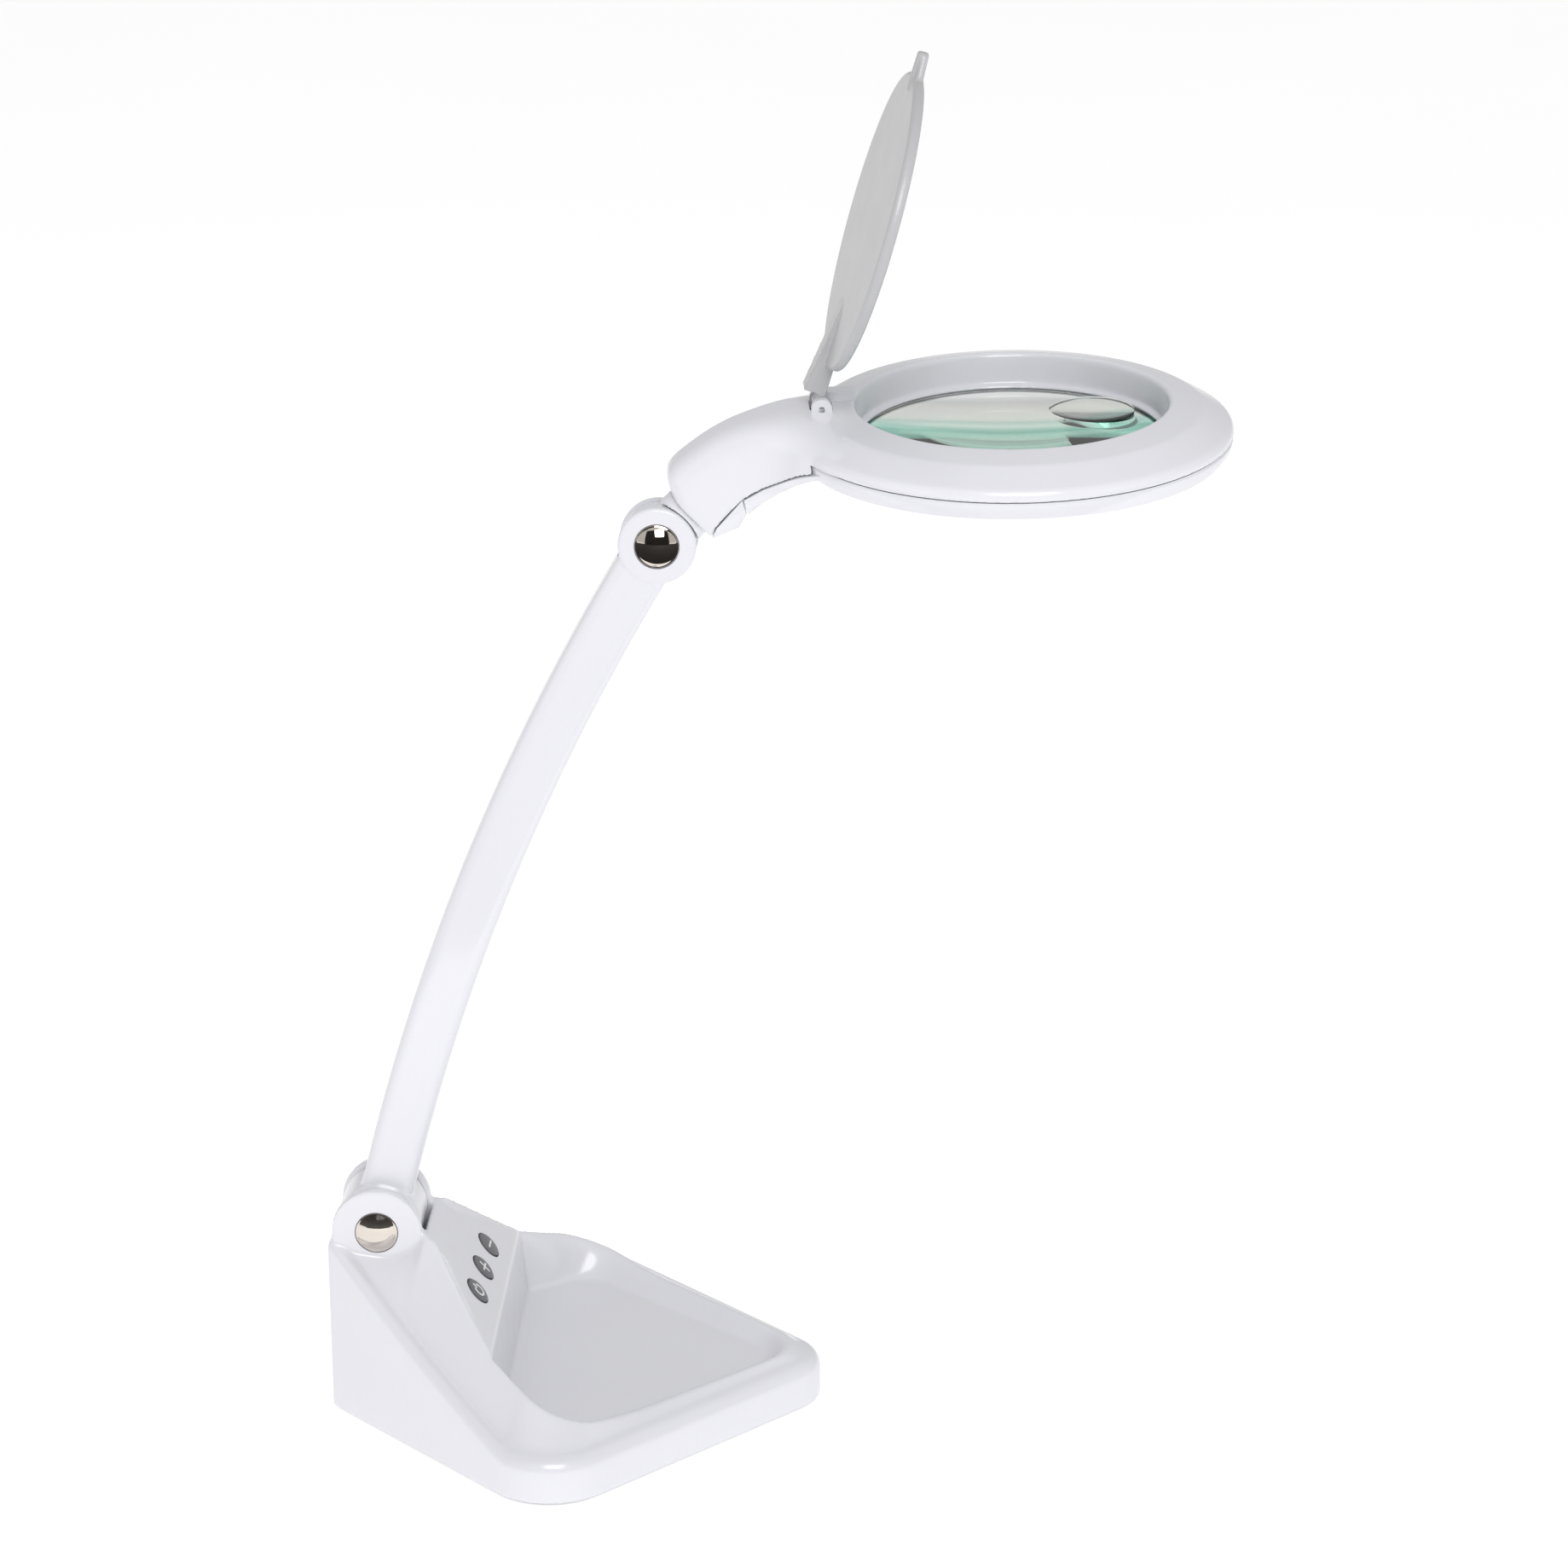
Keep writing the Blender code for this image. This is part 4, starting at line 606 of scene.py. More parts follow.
# %% Solids of the base
def base_skin():
    """Loops from the bottom edge, over the crest, to the tray floor."""
    crest = whole(crest_half())
    floor = whole(tray_half(0.0, TRAY_FLOOR))
    edge = rim_loop(RIM_ROUND, 0.0)
    turns = [math.pi / 2 * i / 6 for i in range(6)]
    rounding = [rim_loop(RIM_ROUND * (1 - math.cos(a)), RIM_ROUND * (1 - math.sin(a))) for a in turns]
    fall = [eased(crest, floor, t, smooth((t - 0.04) / 0.92))
            for t in (0.12, 0.25, 0.4, 0.55, 0.7, 0.85)]
    rise = [eased(edge, crest, t, t) for t in (0.25, 0.5, 0.75)]
    return lofted([flat_loop(0.0, FOOT_PROUD)] + rounding + [edge] + rise + [crest] + fall + [floor])


def column():
    top = arc((0.0, HINGE_HEIGHT), CHEEK_RADIUS, 0, 180, 33)
    outline = [(BACK_Y - TUCK, PANEL_FOOT_Z)] + top + [(top[-1][0], PANEL_FOOT_Z)]
    return lofted([[(x, y, z) for y, z in outline] for x in (-BACK_HALF, BACK_HALF)])


def wedge(low, lower, inset, out):
    """The block under the control panel, as slices across the lamp."""
    foot_y = PANEL_FOOT_Y + inset
    foot_half = panel_half(foot_y) - TUCK + out
    slices = ((PANEL_TOP_Y + BARREL_RADIUS, PANEL_FOOT_Z, BACK_HALF - TUCK),
              (PANEL_TOP_Y, PANEL_TOP_Z - lower, BACK_HALF - TUCK + out),
              (foot_y, panel_height(foot_y) - lower, foot_half),
              (foot_y - RISER_LEAN, TRAY_FLOOR - BASE_WALL - lower / 2, foot_half))
    return lofted([((-half, y, low), (half, y, low), (half, y, top), (-half, y, top))
                   for y, top, half in slices])


SLOT_HALF = BACK_HALF - CHEEK
SLOT_RADIUS = BARREL_RADIUS + SLOT_CLEARANCE
slot = [moved(disc(SLOT_RADIUS, -SLOT_HALF, SLOT_HALF), across(HINGE)),
        block((-SLOT_HALF, -SLOT_RADIUS, HINGE_HEIGHT), (SLOT_HALF, BACK_Y, 2 * HINGE_HEIGHT))]
housing = melted("base_moulding", [base_skin(), column(), wedge(TRAY_FLOOR / 2, 0.0, 0.0, 0.0)],
                 white_gloss, 0.0009, 5, slot)
print("melted base:", len(housing.data.polygons), "faces")

# %% [markdown]
# ## Control panel
# The panel slopes down from the hinge to the tray. Everything on it is placed by
# one matrix, whose Z axis points out of the panel at a distance from its middle.

# %% Places on the panel
PANEL_DOWN = Vector((0, PANEL_FOOT_Y - PANEL_TOP_Y, PANEL_FOOT_Z - PANEL_TOP_Z)).normalized()
PANEL_OUT = Vector((0, PANEL_DOWN.z, -PANEL_DOWN.y))
PANEL_SLOPE = math.atan2(-PANEL_OUT.y, PANEL_OUT.z)
KEYS = {name: Vector(JOINTS[name + "_press"]["pos_m"]) for name in ("power", "plus", "minus")}
KEY_RADIUS, KEY_PROUD = 0.0052, 0.0005


def on_panel(place):
    return Matrix.Translation(place) @ Matrix.Rotation(PANEL_SLOPE, 4, "X")


print("panel slopes", round(math.degrees(PANEL_SLOPE), 1), "degrees")

# %% Hollow, seats and holes of the base
PLATE_TOP = FOOT_PROUD + 0.0025
BOSS_PLACES = ((-0.0500, -0.0270), (0.0500, -0.0270), (-0.0200, -0.1190), (0.0200, -0.1190))
SOCKET_Z, SOCKET_RADIUS, SOCKET_DEPTH = 0.0180, 0.0042, 0.0110
LOWER_BORE, UPPER_BORE, BORE_STEPS = 0.0027, 0.0023, 32


def cap_seat(place, side, radius, depth):
    """The shallow seat of a hinge cap, and the pocket for a bolt's head or nut behind it."""
    face = across(place, side)
    return [moved(disc(CAP_RADIUS + GAP, -CAP_SEAT, CAP_RADIUS), face),
            moved(disc(radius, -depth, CAP_SEAT, BORE_STEPS), face)]


drop = BASE_WALL + RIM_ROUND
hollow = lofted([flat_loop(BASE_WALL, 0.0), rim_loop(BASE_WALL, drop),
                 rim_loop(BASE_WALL + RIM_ROUND / 2, drop - RIM_ROUND / 3),
                 whole(crest_half(down=2 * BASE_WALL)),
                 whole(tray_half(BASE_WALL, TRAY_FLOOR - BASE_WALL))])
core_top = HINGE_HEIGHT - SLOT_RADIUS - BASE_WALL
core = BACK_HALF - BASE_WALL
cuts = [hollow, wedge(0.0, BASE_WALL / math.cos(PANEL_SLOPE) + RUN, BASE_WALL, 3 * TUCK),
        block((-core, PANEL_TOP_Y, 0), (core, BACK_Y - BASE_WALL, core_top))]
for side in (LEFT, RIGHT):
    cuts += cap_seat(HINGE + Vector((side * BACK_HALF, 0, 0)), side, 0.0051, 0.0031)
cuts.append(moved(disc(LOWER_BORE, -BACK_HALF, BACK_HALF, BORE_STEPS), across(HINGE)))
for place in KEYS.values():
    cuts.append(moved(disc(KEY_RADIUS + GAP, -2 * BASE_WALL, BASE_WALL), on_panel(place)))
socket_place = shift(0, BACK_Y, SOCKET_Z) @ Matrix.Rotation(-math.pi / 2, 4, "X")
cuts.append(moved(disc(SOCKET_RADIUS + GAP, -SOCKET_DEPTH, SOCKET_DEPTH), socket_place))
combine(housing, cuts)
keep(shaded(housing), "base", "white_plastic", "base_housing")

# %% [markdown]
# ## Keys
# Each key is a slightly domed grey disc. Its symbol is printed, so it is a thin
# raised layer: a ring with a bar for power, a plus and a minus.

# %% Keys and their symbols
KEY_DOME = 0.00025
PRINT = 0.00006
STROKE = 0.0008


def key_body():
    stem_end, under, flange = -0.0052, -BASE_WALL - 2 * RUN, KEY_RADIUS + 0.0016
    outer = KEY_RADIUS - GAP
    face = [(outer - 0.0003 + 0.0003 * math.cos(a), KEY_PROUD - 0.0003 + 0.0003 * math.sin(a))
            for a in (math.pi / 2 * i / 4 for i in range(5))]
    crown = [(outer * (1 - t) - 0.0003 * (1 - t), KEY_PROUD + KEY_DOME * (1 - (1 - t) ** 2))
             for t in (0.2, 0.4, 0.6, 0.8, 1.0)]
    return turned([(0, stem_end), (0.0017, stem_end), (0.0017, under - 0.0008), (flange, under - 0.0008),
                   (flange, under), (outer, under)] + face + crown, 64)


def bar(length, width):
    half, side = length / 2, width / 2
    return block((-half, -side, KEY_PROUD - PRINT), (half, side, KEY_PROUD + KEY_DOME + PRINT))


def ring_with_gap(radius, width, gap):
    """An open ring for the power symbol."""
    low, high = KEY_PROUD - PRINT, KEY_PROUD + KEY_DOME + PRINT
    loops = []
    for angle in (math.radians(mix(90 + gap, 450 - gap, i / 40)) for i in range(41)):
        ray = Vector((math.cos(angle), math.sin(angle), 0))
        loops.append([ray * r + Vector((0, 0, z)) for r, z in
                      ((radius - width / 2, low), (radius + width / 2, low),
                       (radius + width / 2, high), (radius - width / 2, high))])
    return lofted(loops)


TURN = Matrix.Rotation(math.pi / 2, 4, "Z")
RING, GAP_ANGLE, STALK, STALK_UP, BAR = 0.0023, 35, 0.0022, 0.0021, 0.0052
stalk = moved(bar(STALK, STROKE), shift(0, STALK_UP) @ TURN)
SYMBOLS = {"power": [ring_with_gap(RING, STROKE, GAP_ANGLE), stalk],
           "plus": [bar(BAR, STROKE), moved(bar(BAR, STROKE), TURN)],
           "minus": [bar(BAR, STROKE)]}
for name, place in KEYS.items():
    key = new_object(f"key_{name}", moved(key_body(), on_panel(place)), key_grey)
    keep(shaded(key), f"{name}_key", "grey_button", f"button_{name}")
    shapes = SYMBOLS[name]
    symbol = new_object(f"symbol_{name}", shapes[0], print_white)
    if len(shapes) > 1:
        combine(symbol, shapes[1:], "UNION")
    symbol.data.transform(on_panel(place))
    keep(shaded(symbol), f"{name}_key", "white_plastic")

# %% [markdown]
# ## Arm
# The arm follows a rule: a rounded rectangle swept along an arc, tapering upwards.
# Geometry Nodes can say exactly that: an arc through three points, a radius that
# falls along it, and Curve to Mesh with a filleted rectangle as the profile.

# %% A small builder for Geometry Nodes
class Recipe(Graph):
    """A Geometry Nodes tree with named inputs."""

    def __init__(self, name, inputs):
        self.tree = bpy.data.node_groups.new(name, "GeometryNodeTree")
        self.tree.interface.new_socket("Geometry", in_out="OUTPUT", socket_type="NodeSocketGeometry")
        self.names = {}
        for label, (kind, value) in inputs.items():
            kind = "NodeSocket" + kind
            socket = self.tree.interface.new_socket(label, in_out="INPUT", socket_type=kind)
            if value is not None:
                socket.default_value = value
            self.names[label] = socket.identifier
        self.inputs = self.tree.nodes.new("NodeGroupInput").outputs
        self.output = self.tree.nodes.new("NodeGroupOutput")

    def maths(self, operation, a, b):
        return self.node("ShaderNodeMath", {"operation": operation}, {0: a, 1: b}).outputs[0]

    def finish(self, geometry, material):
        """Ends the tree: instances made real, then one material."""
        real = self.node("GeometryNodeRealizeInstances", None, {"Geometry": geometry})
        sockets = {"Geometry": real.outputs[0], "Material": material}
        last = self.node("GeometryNodeSetMaterial", None, sockets)
        self.tree.links.new(last.outputs[0], self.output.inputs[0])

    def build(self, name, values):
        """A plain mesh object made by the tree with some of its inputs changed."""
        made = bpy.data.objects.new(name, bpy.data.meshes.new(name))
        scene.collection.objects.link(made)
        step = made.modifiers.new("recipe", "NODES")
        step.node_group = self.tree
        for label, value in values.items():
            step[self.names[label]] = value
        return settle(made)


print("recipe builder ready")

# %% The arm's sweep as a recipe
UPPER = Vector(JOINTS["head_tilt"]["pos_m"])
ARM_CHORD = UPPER - HINGE
ARM_SAGITTA = 0.0109
ARM_DEPTH_LOW, ARM_DEPTH_HIGH = 0.0186, 0.0146
ARM_HALF_LOW, ARM_HALF_HIGH = 0.0092, 0.0062
ARM_WALL, ARM_CORNER = 0.0022, 0.0050
UPPER_HALF, UPPER_DISC, UPPER_RADIUS = 0.0085, 0.0040, 0.0133


def arm_point(t):
    """Centre line of the arm from the lower hinge, t = 0, to the upper one, t = 1."""
    half = ARM_CHORD.length / 2
    radius = (half * half + ARM_SAGITTA * ARM_SAGITTA) / (2 * ARM_SAGITTA)
    bulge = Vector((0, ARM_CHORD.z, -ARM_CHORD.y)).normalized()
    angle = math.asin(half / radius) * (2 * t - 1)
    middle = ARM_CHORD / 2 - bulge * (radius - ARM_SAGITTA)
    outward = bulge * math.cos(angle) + ARM_CHORD.normalized() * math.sin(angle)
    return HINGE + middle + outward * radius


sweep = Recipe("tapered_sweep", {
    "Start": ("Vector", None), "Middle": ("Vector", None), "End": ("Vector", None),
    "Depth": ("Float", 0.0186), "Width": ("Float", 0.0184), "Corner": ("Float", 0.004),
    "Depth Taper": ("Float", 0.8), "Width Taper": ("Float", 0.7), "Steps": ("Int", 60),
    "Material": ("Material", None)})
given = sweep.inputs
spine = sweep.node("GeometryNodeCurveArc", {"mode": "POINTS"}, {
    "Resolution": given["Steps"], "Start": given["Start"], "Middle": given["Middle"], "End": given["End"]})
upright = sweep.node("GeometryNodeSetCurveNormal", {"mode": "Z_UP"}, {"Curve": spine.outputs[0]})
share = sweep.node("GeometryNodeSplineParameter").outputs["Factor"]


def shrinking(share, ratio):
    """1 at the start of the arm, falling evenly to a ratio at its end."""
    lost = sweep.maths("SUBTRACT", 1.0, ratio)
    return sweep.maths("SUBTRACT", 1.0, sweep.maths("MULTIPLY", share, lost))


fall = shrinking(share, given["Depth Taper"])
tapering = sweep.node("GeometryNodeSetCurveRadius", None, {"Curve": upright.outputs[0], "Radius": fall})
kept = sweep.node("GeometryNodeCaptureAttribute", None, {0: tapering.outputs[0]})
kept.capture_items.new("FLOAT", "Along")
sweep.tree.links.new(share, kept.inputs["Along"])
section = sweep.node("GeometryNodeCurvePrimitiveQuadrilateral", None, {
    "Width": given["Width"], "Height": given["Depth"]})
soft = sweep.node("GeometryNodeFilletCurve", {"mode": "POLY"}, {"Curve": section.outputs[0]})
soft.inputs["Count"].default_value = 8
sweep.tree.links.new(given["Corner"], soft.inputs["Radius"])
body = sweep.node("GeometryNodeCurveToMesh", None, {
    "Curve": kept.outputs[0], "Profile Curve": soft.outputs[0], "Fill Caps": True})
ratio = sweep.maths("DIVIDE", given["Width Taper"], given["Depth Taper"])
squeeze = shrinking(kept.outputs["Along"], ratio)
apart = sweep.node("ShaderNodeSeparateXYZ", None, {0: sweep.node("GeometryNodeInputPosition").outputs[0]})
narrow = sweep.node("ShaderNodeCombineXYZ", None, {
    0: sweep.maths("MULTIPLY", apart.outputs[0], squeeze), 1: apart.outputs[1], 2: apart.outputs[2]})
placed = sweep.node("GeometryNodeSetPosition", None, {
    "Geometry": body.outputs[0], "Position": narrow.outputs[0]})
sweep.finish(placed.outputs[0], given["Material"])
print("arm recipe has", len(sweep.tree.nodes), "nodes")


# %% The arm's moulding
def arm_solid(start, end, wall):
    """Sweep part of the arm, one wall thickness in if asked. Returns a bmesh."""
    low, high = (mix(ARM_DEPTH_LOW, ARM_DEPTH_HIGH, t) - 2 * wall for t in (start, end))
    wide, thin = (2 * (mix(ARM_HALF_LOW, ARM_HALF_HIGH, t) - wall) for t in (start, end))
    made = sweep.build("arm_sweep", {
        "Start": arm_point(start), "Middle": arm_point((start + end) / 2), "End": arm_point(end),
        "Depth": low, "Width": wide, "Corner": ARM_CORNER - wall / 2 - 0.0006,
        "Depth Taper": high / low, "Width Taper": thin / wide, "Material": white_gloss})
    bm = bmesh.new()
    bm.from_mesh(made.data)
    bmesh.ops.remove_doubles(bm, verts=bm.verts, dist=1e-6)
    bpy.data.objects.remove(made, do_unlink=True)
    return bm


ARM_LENGTH, DISC_STEPS = ARM_CHORD.length, 96
barrel_half = SLOT_HALF - WASHER - 3 * GAP
barrel = moved(disc(BARREL_RADIUS, -barrel_half, barrel_half, DISC_STEPS, 0.0008), across(HINGE))
eye = moved(disc(UPPER_RADIUS, -UPPER_HALF, UPPER_HALF, DISC_STEPS, 0.0012), across(UPPER))
arm_outer = arm_solid(BARREL_RADIUS / 2 / ARM_LENGTH, 1 - UPPER_RADIUS / 2 / ARM_LENGTH, 0.0)
arm = melted("arm_moulding", [arm_outer, barrel, eye], white_gloss, 0.0006, 5)
print("melted arm:", len(arm.data.polygons), "faces")

# %% Passage, fork and seats of the arm
tongue_gap = UPPER_HALF - UPPER_DISC
arm_cuts = [arm_solid(-0.02, 1 - UPPER_RADIUS / 3 / ARM_LENGTH, ARM_WALL),
            moved(disc(UPPER_RADIUS + 2 * RUN, -tongue_gap, tongue_gap, DISC_STEPS), across(UPPER)),
            moved(disc(LOWER_BORE, -BACK_HALF, BACK_HALF, BORE_STEPS), across(HINGE)),
            moved(disc(UPPER_BORE, -BACK_HALF, BACK_HALF, BORE_STEPS), across(UPPER))]
for side in (LEFT, RIGHT):
    arm_cuts += cap_seat(UPPER + Vector((side * UPPER_HALF, 0, 0)), side, 0.0043, 0.0028)
combine(arm, arm_cuts)
keep(shaded(arm), "arm", "white_plastic", "arm_sleeve")

# %% [markdown]
# ## Hinge caps
# The pins are covered by domed chrome caps that sit in shallow seats. A true dome
# needs many rings, because chrome shows every flat as a kink in its reflections.

# %% Chrome caps
def cap_solid():
    """A shallow dome: part of a big sphere with a rolled edge."""
    sphere = (CAP_RADIUS ** 2 + CAP_DOME ** 2) / (2 * CAP_DOME)
    reach = math.asin(CAP_RADIUS / sphere)
    roll = 0.0004
    edge = [(CAP_RADIUS - roll + roll * math.cos(a), roll * math.sin(a) - roll)
            for a in (math.pi / 2 * i / 5 for i in range(5))]
    inward = (CAP_RADIUS - roll) / CAP_RADIUS * sphere
    crown = [(inward * math.sin(a), CAP_DOME - sphere * (1 - math.cos(a)))
             for a in (reach * (1 - i / 18) for i in range(19))]
    return turned([(0, -CAP_SEAT + GAP), (CAP_RADIUS, -CAP_SEAT + GAP)] + edge + crown, DISC_STEPS)


CAP_PLACES = (("lower", "base", HINGE, BACK_HALF), ("upper", "arm", UPPER, UPPER_HALF))
for prefix, body_name, centre, face in CAP_PLACES:
    for side, word in ((LEFT, "left"), (RIGHT, "right")):
        place = across(centre + Vector((side * face, 0, 0)), side)
        cap = new_object(f"{prefix}_dome_{word}", moved(cap_solid(), place), chrome_with_painted_table_tint)
        keep(shaded(cap, 50), body_name, "chrome", f"{prefix}_hinge_cap_{word}")

# %% [markdown]
# ## Knuckle
# Between arm and head sits a knuckle: a disc held in the arm's fork, which tilts,
# and a collar on the head's turning axis. The head turns on a stem inside it.
# Its frame is the frame of the head before it is turned.

# %% Frames of the head
TILT_REST, SWIVEL_REST, LID_REST = math.radians(-1.33), math.radians(6.41), math.radians(-72.3)
SWIVEL_RISE = math.radians(43.6)
swivel_axis = Vector(JOINTS["head_swivel"]["axis"])
TILTED = Matrix.Rotation(TILT_REST, 4, "X")
TILT_FRAME = Matrix.Translation(UPPER) @ TILTED
HEAD_FRAME = Matrix.Translation(UPPER) @ Matrix.Rotation(SWIVEL_REST, 4, swivel_axis) @ TILTED
SWIVEL_AXIS = Vector((0, -math.cos(SWIVEL_RISE), math.sin(SWIVEL_RISE)))
COLLAR_RADIUS, COLLAR_END, STEM_RADIUS, STEM_END = 0.0092, 0.0156, 0.0040, 0.0235
SHOULDER = Matrix.Rotation(math.pi / 2 - SWIVEL_RISE, 4, "X")
print("head turned", round(math.degrees(SWIVEL_REST), 2), "degrees at rest")

# %% The knuckle's moulding
tongue_half = UPPER_HALF - UPPER_DISC - WASHER - 2 * GAP
CLIP_LOW, CLIP_HIGH, CLIP_DEEP, PIN_STEPS = 0.0193, 0.0209, 0.0010, 48
stem = moved(disc(STEM_RADIUS, UPPER_RADIUS, STEM_END, PIN_STEPS), SHOULDER)
clip_groove = tube(STEM_RADIUS - CLIP_DEEP, STEM_RADIUS + CLIP_DEEP, CLIP_LOW, CLIP_HIGH, PIN_STEPS)
knuckle = melted("knuckle_moulding",
                 [moved(disc(UPPER_RADIUS - RUN, -tongue_half, tongue_half, DISC_STEPS, 0.0005), across()),
                  moved(disc(COLLAR_RADIUS, UPPER_RADIUS * 0.75, COLLAR_END, DISC_STEPS, 0.0005), SHOULDER),
                  stem], white_gloss, 0.0004, 3,
                 [moved(disc(UPPER_RADIUS + RUN, tongue_half, 2 * UPPER_RADIUS, DISC_STEPS), across(side=side))
                  for side in (LEFT, RIGHT)])
combine(knuckle, [moved(disc(UPPER_BORE, -UPPER_HALF, UPPER_HALF, BORE_STEPS), across()),
                  moved(clip_groove, SHOULDER)])
knuckle.data.transform(TILT_FRAME)
keep(shaded(knuckle), "knuckle", "white_plastic", "head_knuckle")

# %% [markdown]
# ## Head: neck and ring
# The head's upper shell is an arched neck that widens into a flat ring. The neck is
# lofted from arch-shaped slices, the ring is turned, and melting makes the smooth
# flare between them. The ring has a flat crest, a sloping shoulder and a round edge.

# %% Sizes of the head
HEAD_REACH, HEAD_RISE = 0.1202, 0.0456
RING_RADIUS, RING_CREST_IN, RING_SHOULDER = 0.0744, 0.0526, 0.0641
SHOULDER_DROP, PARTING_DROP, HEAD_WALL, RECESS_DEPTH = 0.0023, 0.0117, 0.0022, 0.0112
LIP_WIDTH, LIP_THICK, RECESS_DRAFT, BAND_HEIGHT, BAND_TAPER = 0.0018, 0.0012, 0.0006, 0.0062, 0.0026
LIP_IN = RING_CREST_IN - LIP_WIDTH - RECESS_DRAFT
CHANNEL_IN, CHANNEL_OUT, CHANNEL_DEPTH = 0.0552, 0.0690, 0.0042
NECK_SQUARE, NECK_SHOULDER = 0.62, 0.35
LENS_EDGE, LENS_RADIUS, LENS_SAG = 0.0030, 0.0510, 0.0036
PARTING = HEAD_RISE - PARTING_DROP
RING_FRAME = shift(0, -HEAD_REACH)
RING_STEPS = 180


def in_neck(forward, up):
    return Vector((0, -forward, up))


NECK_END_HALF = 0.0118
NECK_ROWS = (((0.0195, 0.0080), (0.0042, 0.0262), 0.0126), ((0.0240, 0.0130), (0.0138, 0.0344), 0.0132),
             ((0.0290, 0.0180), (0.0240, 0.0402), 0.0138), ((0.0355, 0.0220), (0.0345, 0.0438), 0.0155),
             ((0.0415, 0.0252), (0.0430, 0.0456), 0.0188), ((0.0465, 0.0282), (0.0485, 0.0460), 0.0232),
             ((0.0515, 0.0308), (0.0535, 0.0460), 0.0292), ((0.0565, 0.0330), (0.0590, 0.0456), 0.0366))
COVER_ROWS = 4
NECK_SOFT, NECK_NARROW, NECK_WIDE = 1.05, 0.0150, 0.0340


def neck_sections():
    """Lower point, upper point and half width of each slice through the neck."""
    end = SWIVEL_AXIS * (COLLAR_END + GAP)
    square = Vector((0, SWIVEL_AXIS.z, -SWIVEL_AXIS.y)) * COLLAR_RADIUS
    rows = [(end - square, end + square, NECK_END_HALF)]
    return rows + [(in_neck(*low), in_neck(*high), half) for low, high, half in NECK_ROWS]


def neck_loop(low, high, half, shrink=0.0, below=0.0, steps=24):
    """Arch-shaped slice: straight sides, broad round shoulders."""
    rise = high - low
    up = rise.normalized()
    foot = low - up * below
    height = rise.length - shrink + below
    power = mix(NECK_SQUARE, NECK_SOFT, smooth((half - NECK_NARROW) / (NECK_WIDE - NECK_NARROW)))
    half -= shrink
    loop = [foot + Vector((-half, 0, 0))]
    for i in range(steps + 1):
        a = math.pi * i / steps
        x = -half * math.copysign(abs(math.cos(a)) ** power, math.cos(a))
        lift = abs(math.sin(a)) ** power
        loop.append(foot + up * mix(height * NECK_SHOULDER, height, lift) + Vector((x, 0, 0)))
    return loop + [foot + Vector((half, 0, 0))]


def curve_through(rows, count):
    """Smooth slices between the given ones, by Catmull-Rom splines."""
    out = []
    padded = [rows[0]] + rows + [rows[-1]]
    for four in zip(padded, padded[1:], padded[2:], padded[3:]):
        for t in (k / count for k in range(count)):
            out.append(tuple(0.5 * ((2 * q) + (r - p) * t + (2 * p - 5 * q + 4 * r - s) * t * t
                                    + (3 * q - p - 3 * r + s) * t ** 3) for p, q, r, s in zip(*four)))
    return out + [rows[-1]]


print("ring is", round(2000 * RING_RADIUS), "mm across")


# %% Solids of the upper shell
def ring_outline():
    """Closed (radius, height) outline of the ring's upper half, edges rounded."""
    crest = HEAD_RISE
    shoulder = crest - SHOULDER_DROP
    lip_top = crest - RECESS_DEPTH
    slope = [(mix(RING_RADIUS - 0.0012, RING_SHOULDER, t), mix(PARTING + 0.0040, shoulder, t))
             for t in (0.0, 0.25, 0.5, 0.75, 1.0)]
    edge = [(RING_RADIUS, PARTING), (RING_RADIUS, PARTING + 0.0015), (RING_RADIUS - 0.0003, PARTING + 0.0028)]
    return edge + slope + [
        (RING_CREST_IN + LIP_THICK, crest), (RING_CREST_IN + 0.0003, crest - 0.0004),
        (RING_CREST_IN, crest - LIP_THICK), (RING_CREST_IN - RECESS_DRAFT, lip_top), (LIP_IN, lip_top),
        (LIP_IN, lip_top - LIP_THICK), (RING_CREST_IN + HEAD_WALL, PARTING)]


LID_BACK, LID_HINGE_UP, LID_STRAP_HALF, LID_BARREL, LID_PIN = 0.0642, 0.0010, 0.0048, 0.0030, 0.0011
LUG = 0.0028
lid_hinge = in_neck(HEAD_REACH - LID_BACK, HEAD_RISE + LID_HINGE_UP)


def lug_solid(side, thick=LUG, radius=LID_BARREL + RUN):
    """One upright ear of the lid's hinge."""
    outline = [(radius, -1.3 * radius)] + arc((0, 0), radius, 0, 180, 17) + [(-radius, -1.3 * radius)]
    near = side * (LID_STRAP_HALF + RUN)
    far = near + side * thick
    return lofted([[lid_hinge + Vector((x, y, z)) for y, z in outline] for x in (near, far)])


NECK_END = ((0.0600, 0.0334), (0.0650, 0.0451), 0.0410)


def pad_solid():
    """The raised pad beside the hinge."""
    low = lid_hinge + Vector((0.0056, -0.0118, -0.006))
    high = lid_hinge + Vector((0.0120, -0.0004, 0.0018))
    return block(low, high)


neck_rows = neck_sections() + [(in_neck(*NECK_END[0]), in_neck(*NECK_END[1]), NECK_END[2])]
fine = curve_through([(*low, *high, half) for low, high, half in neck_rows], 4)
neck = lofted([neck_loop(Vector(row[:3]), Vector(row[3:6]), row[6]) for row in fine])
ring = moved(turned(ring_outline(), RING_STEPS), RING_FRAME)
upper_shell = melted("upper_moulding", [ring, neck], white_gloss, 0.0007, 6)
print("melted upper shell:", len(upper_shell.data.polygons), "faces")

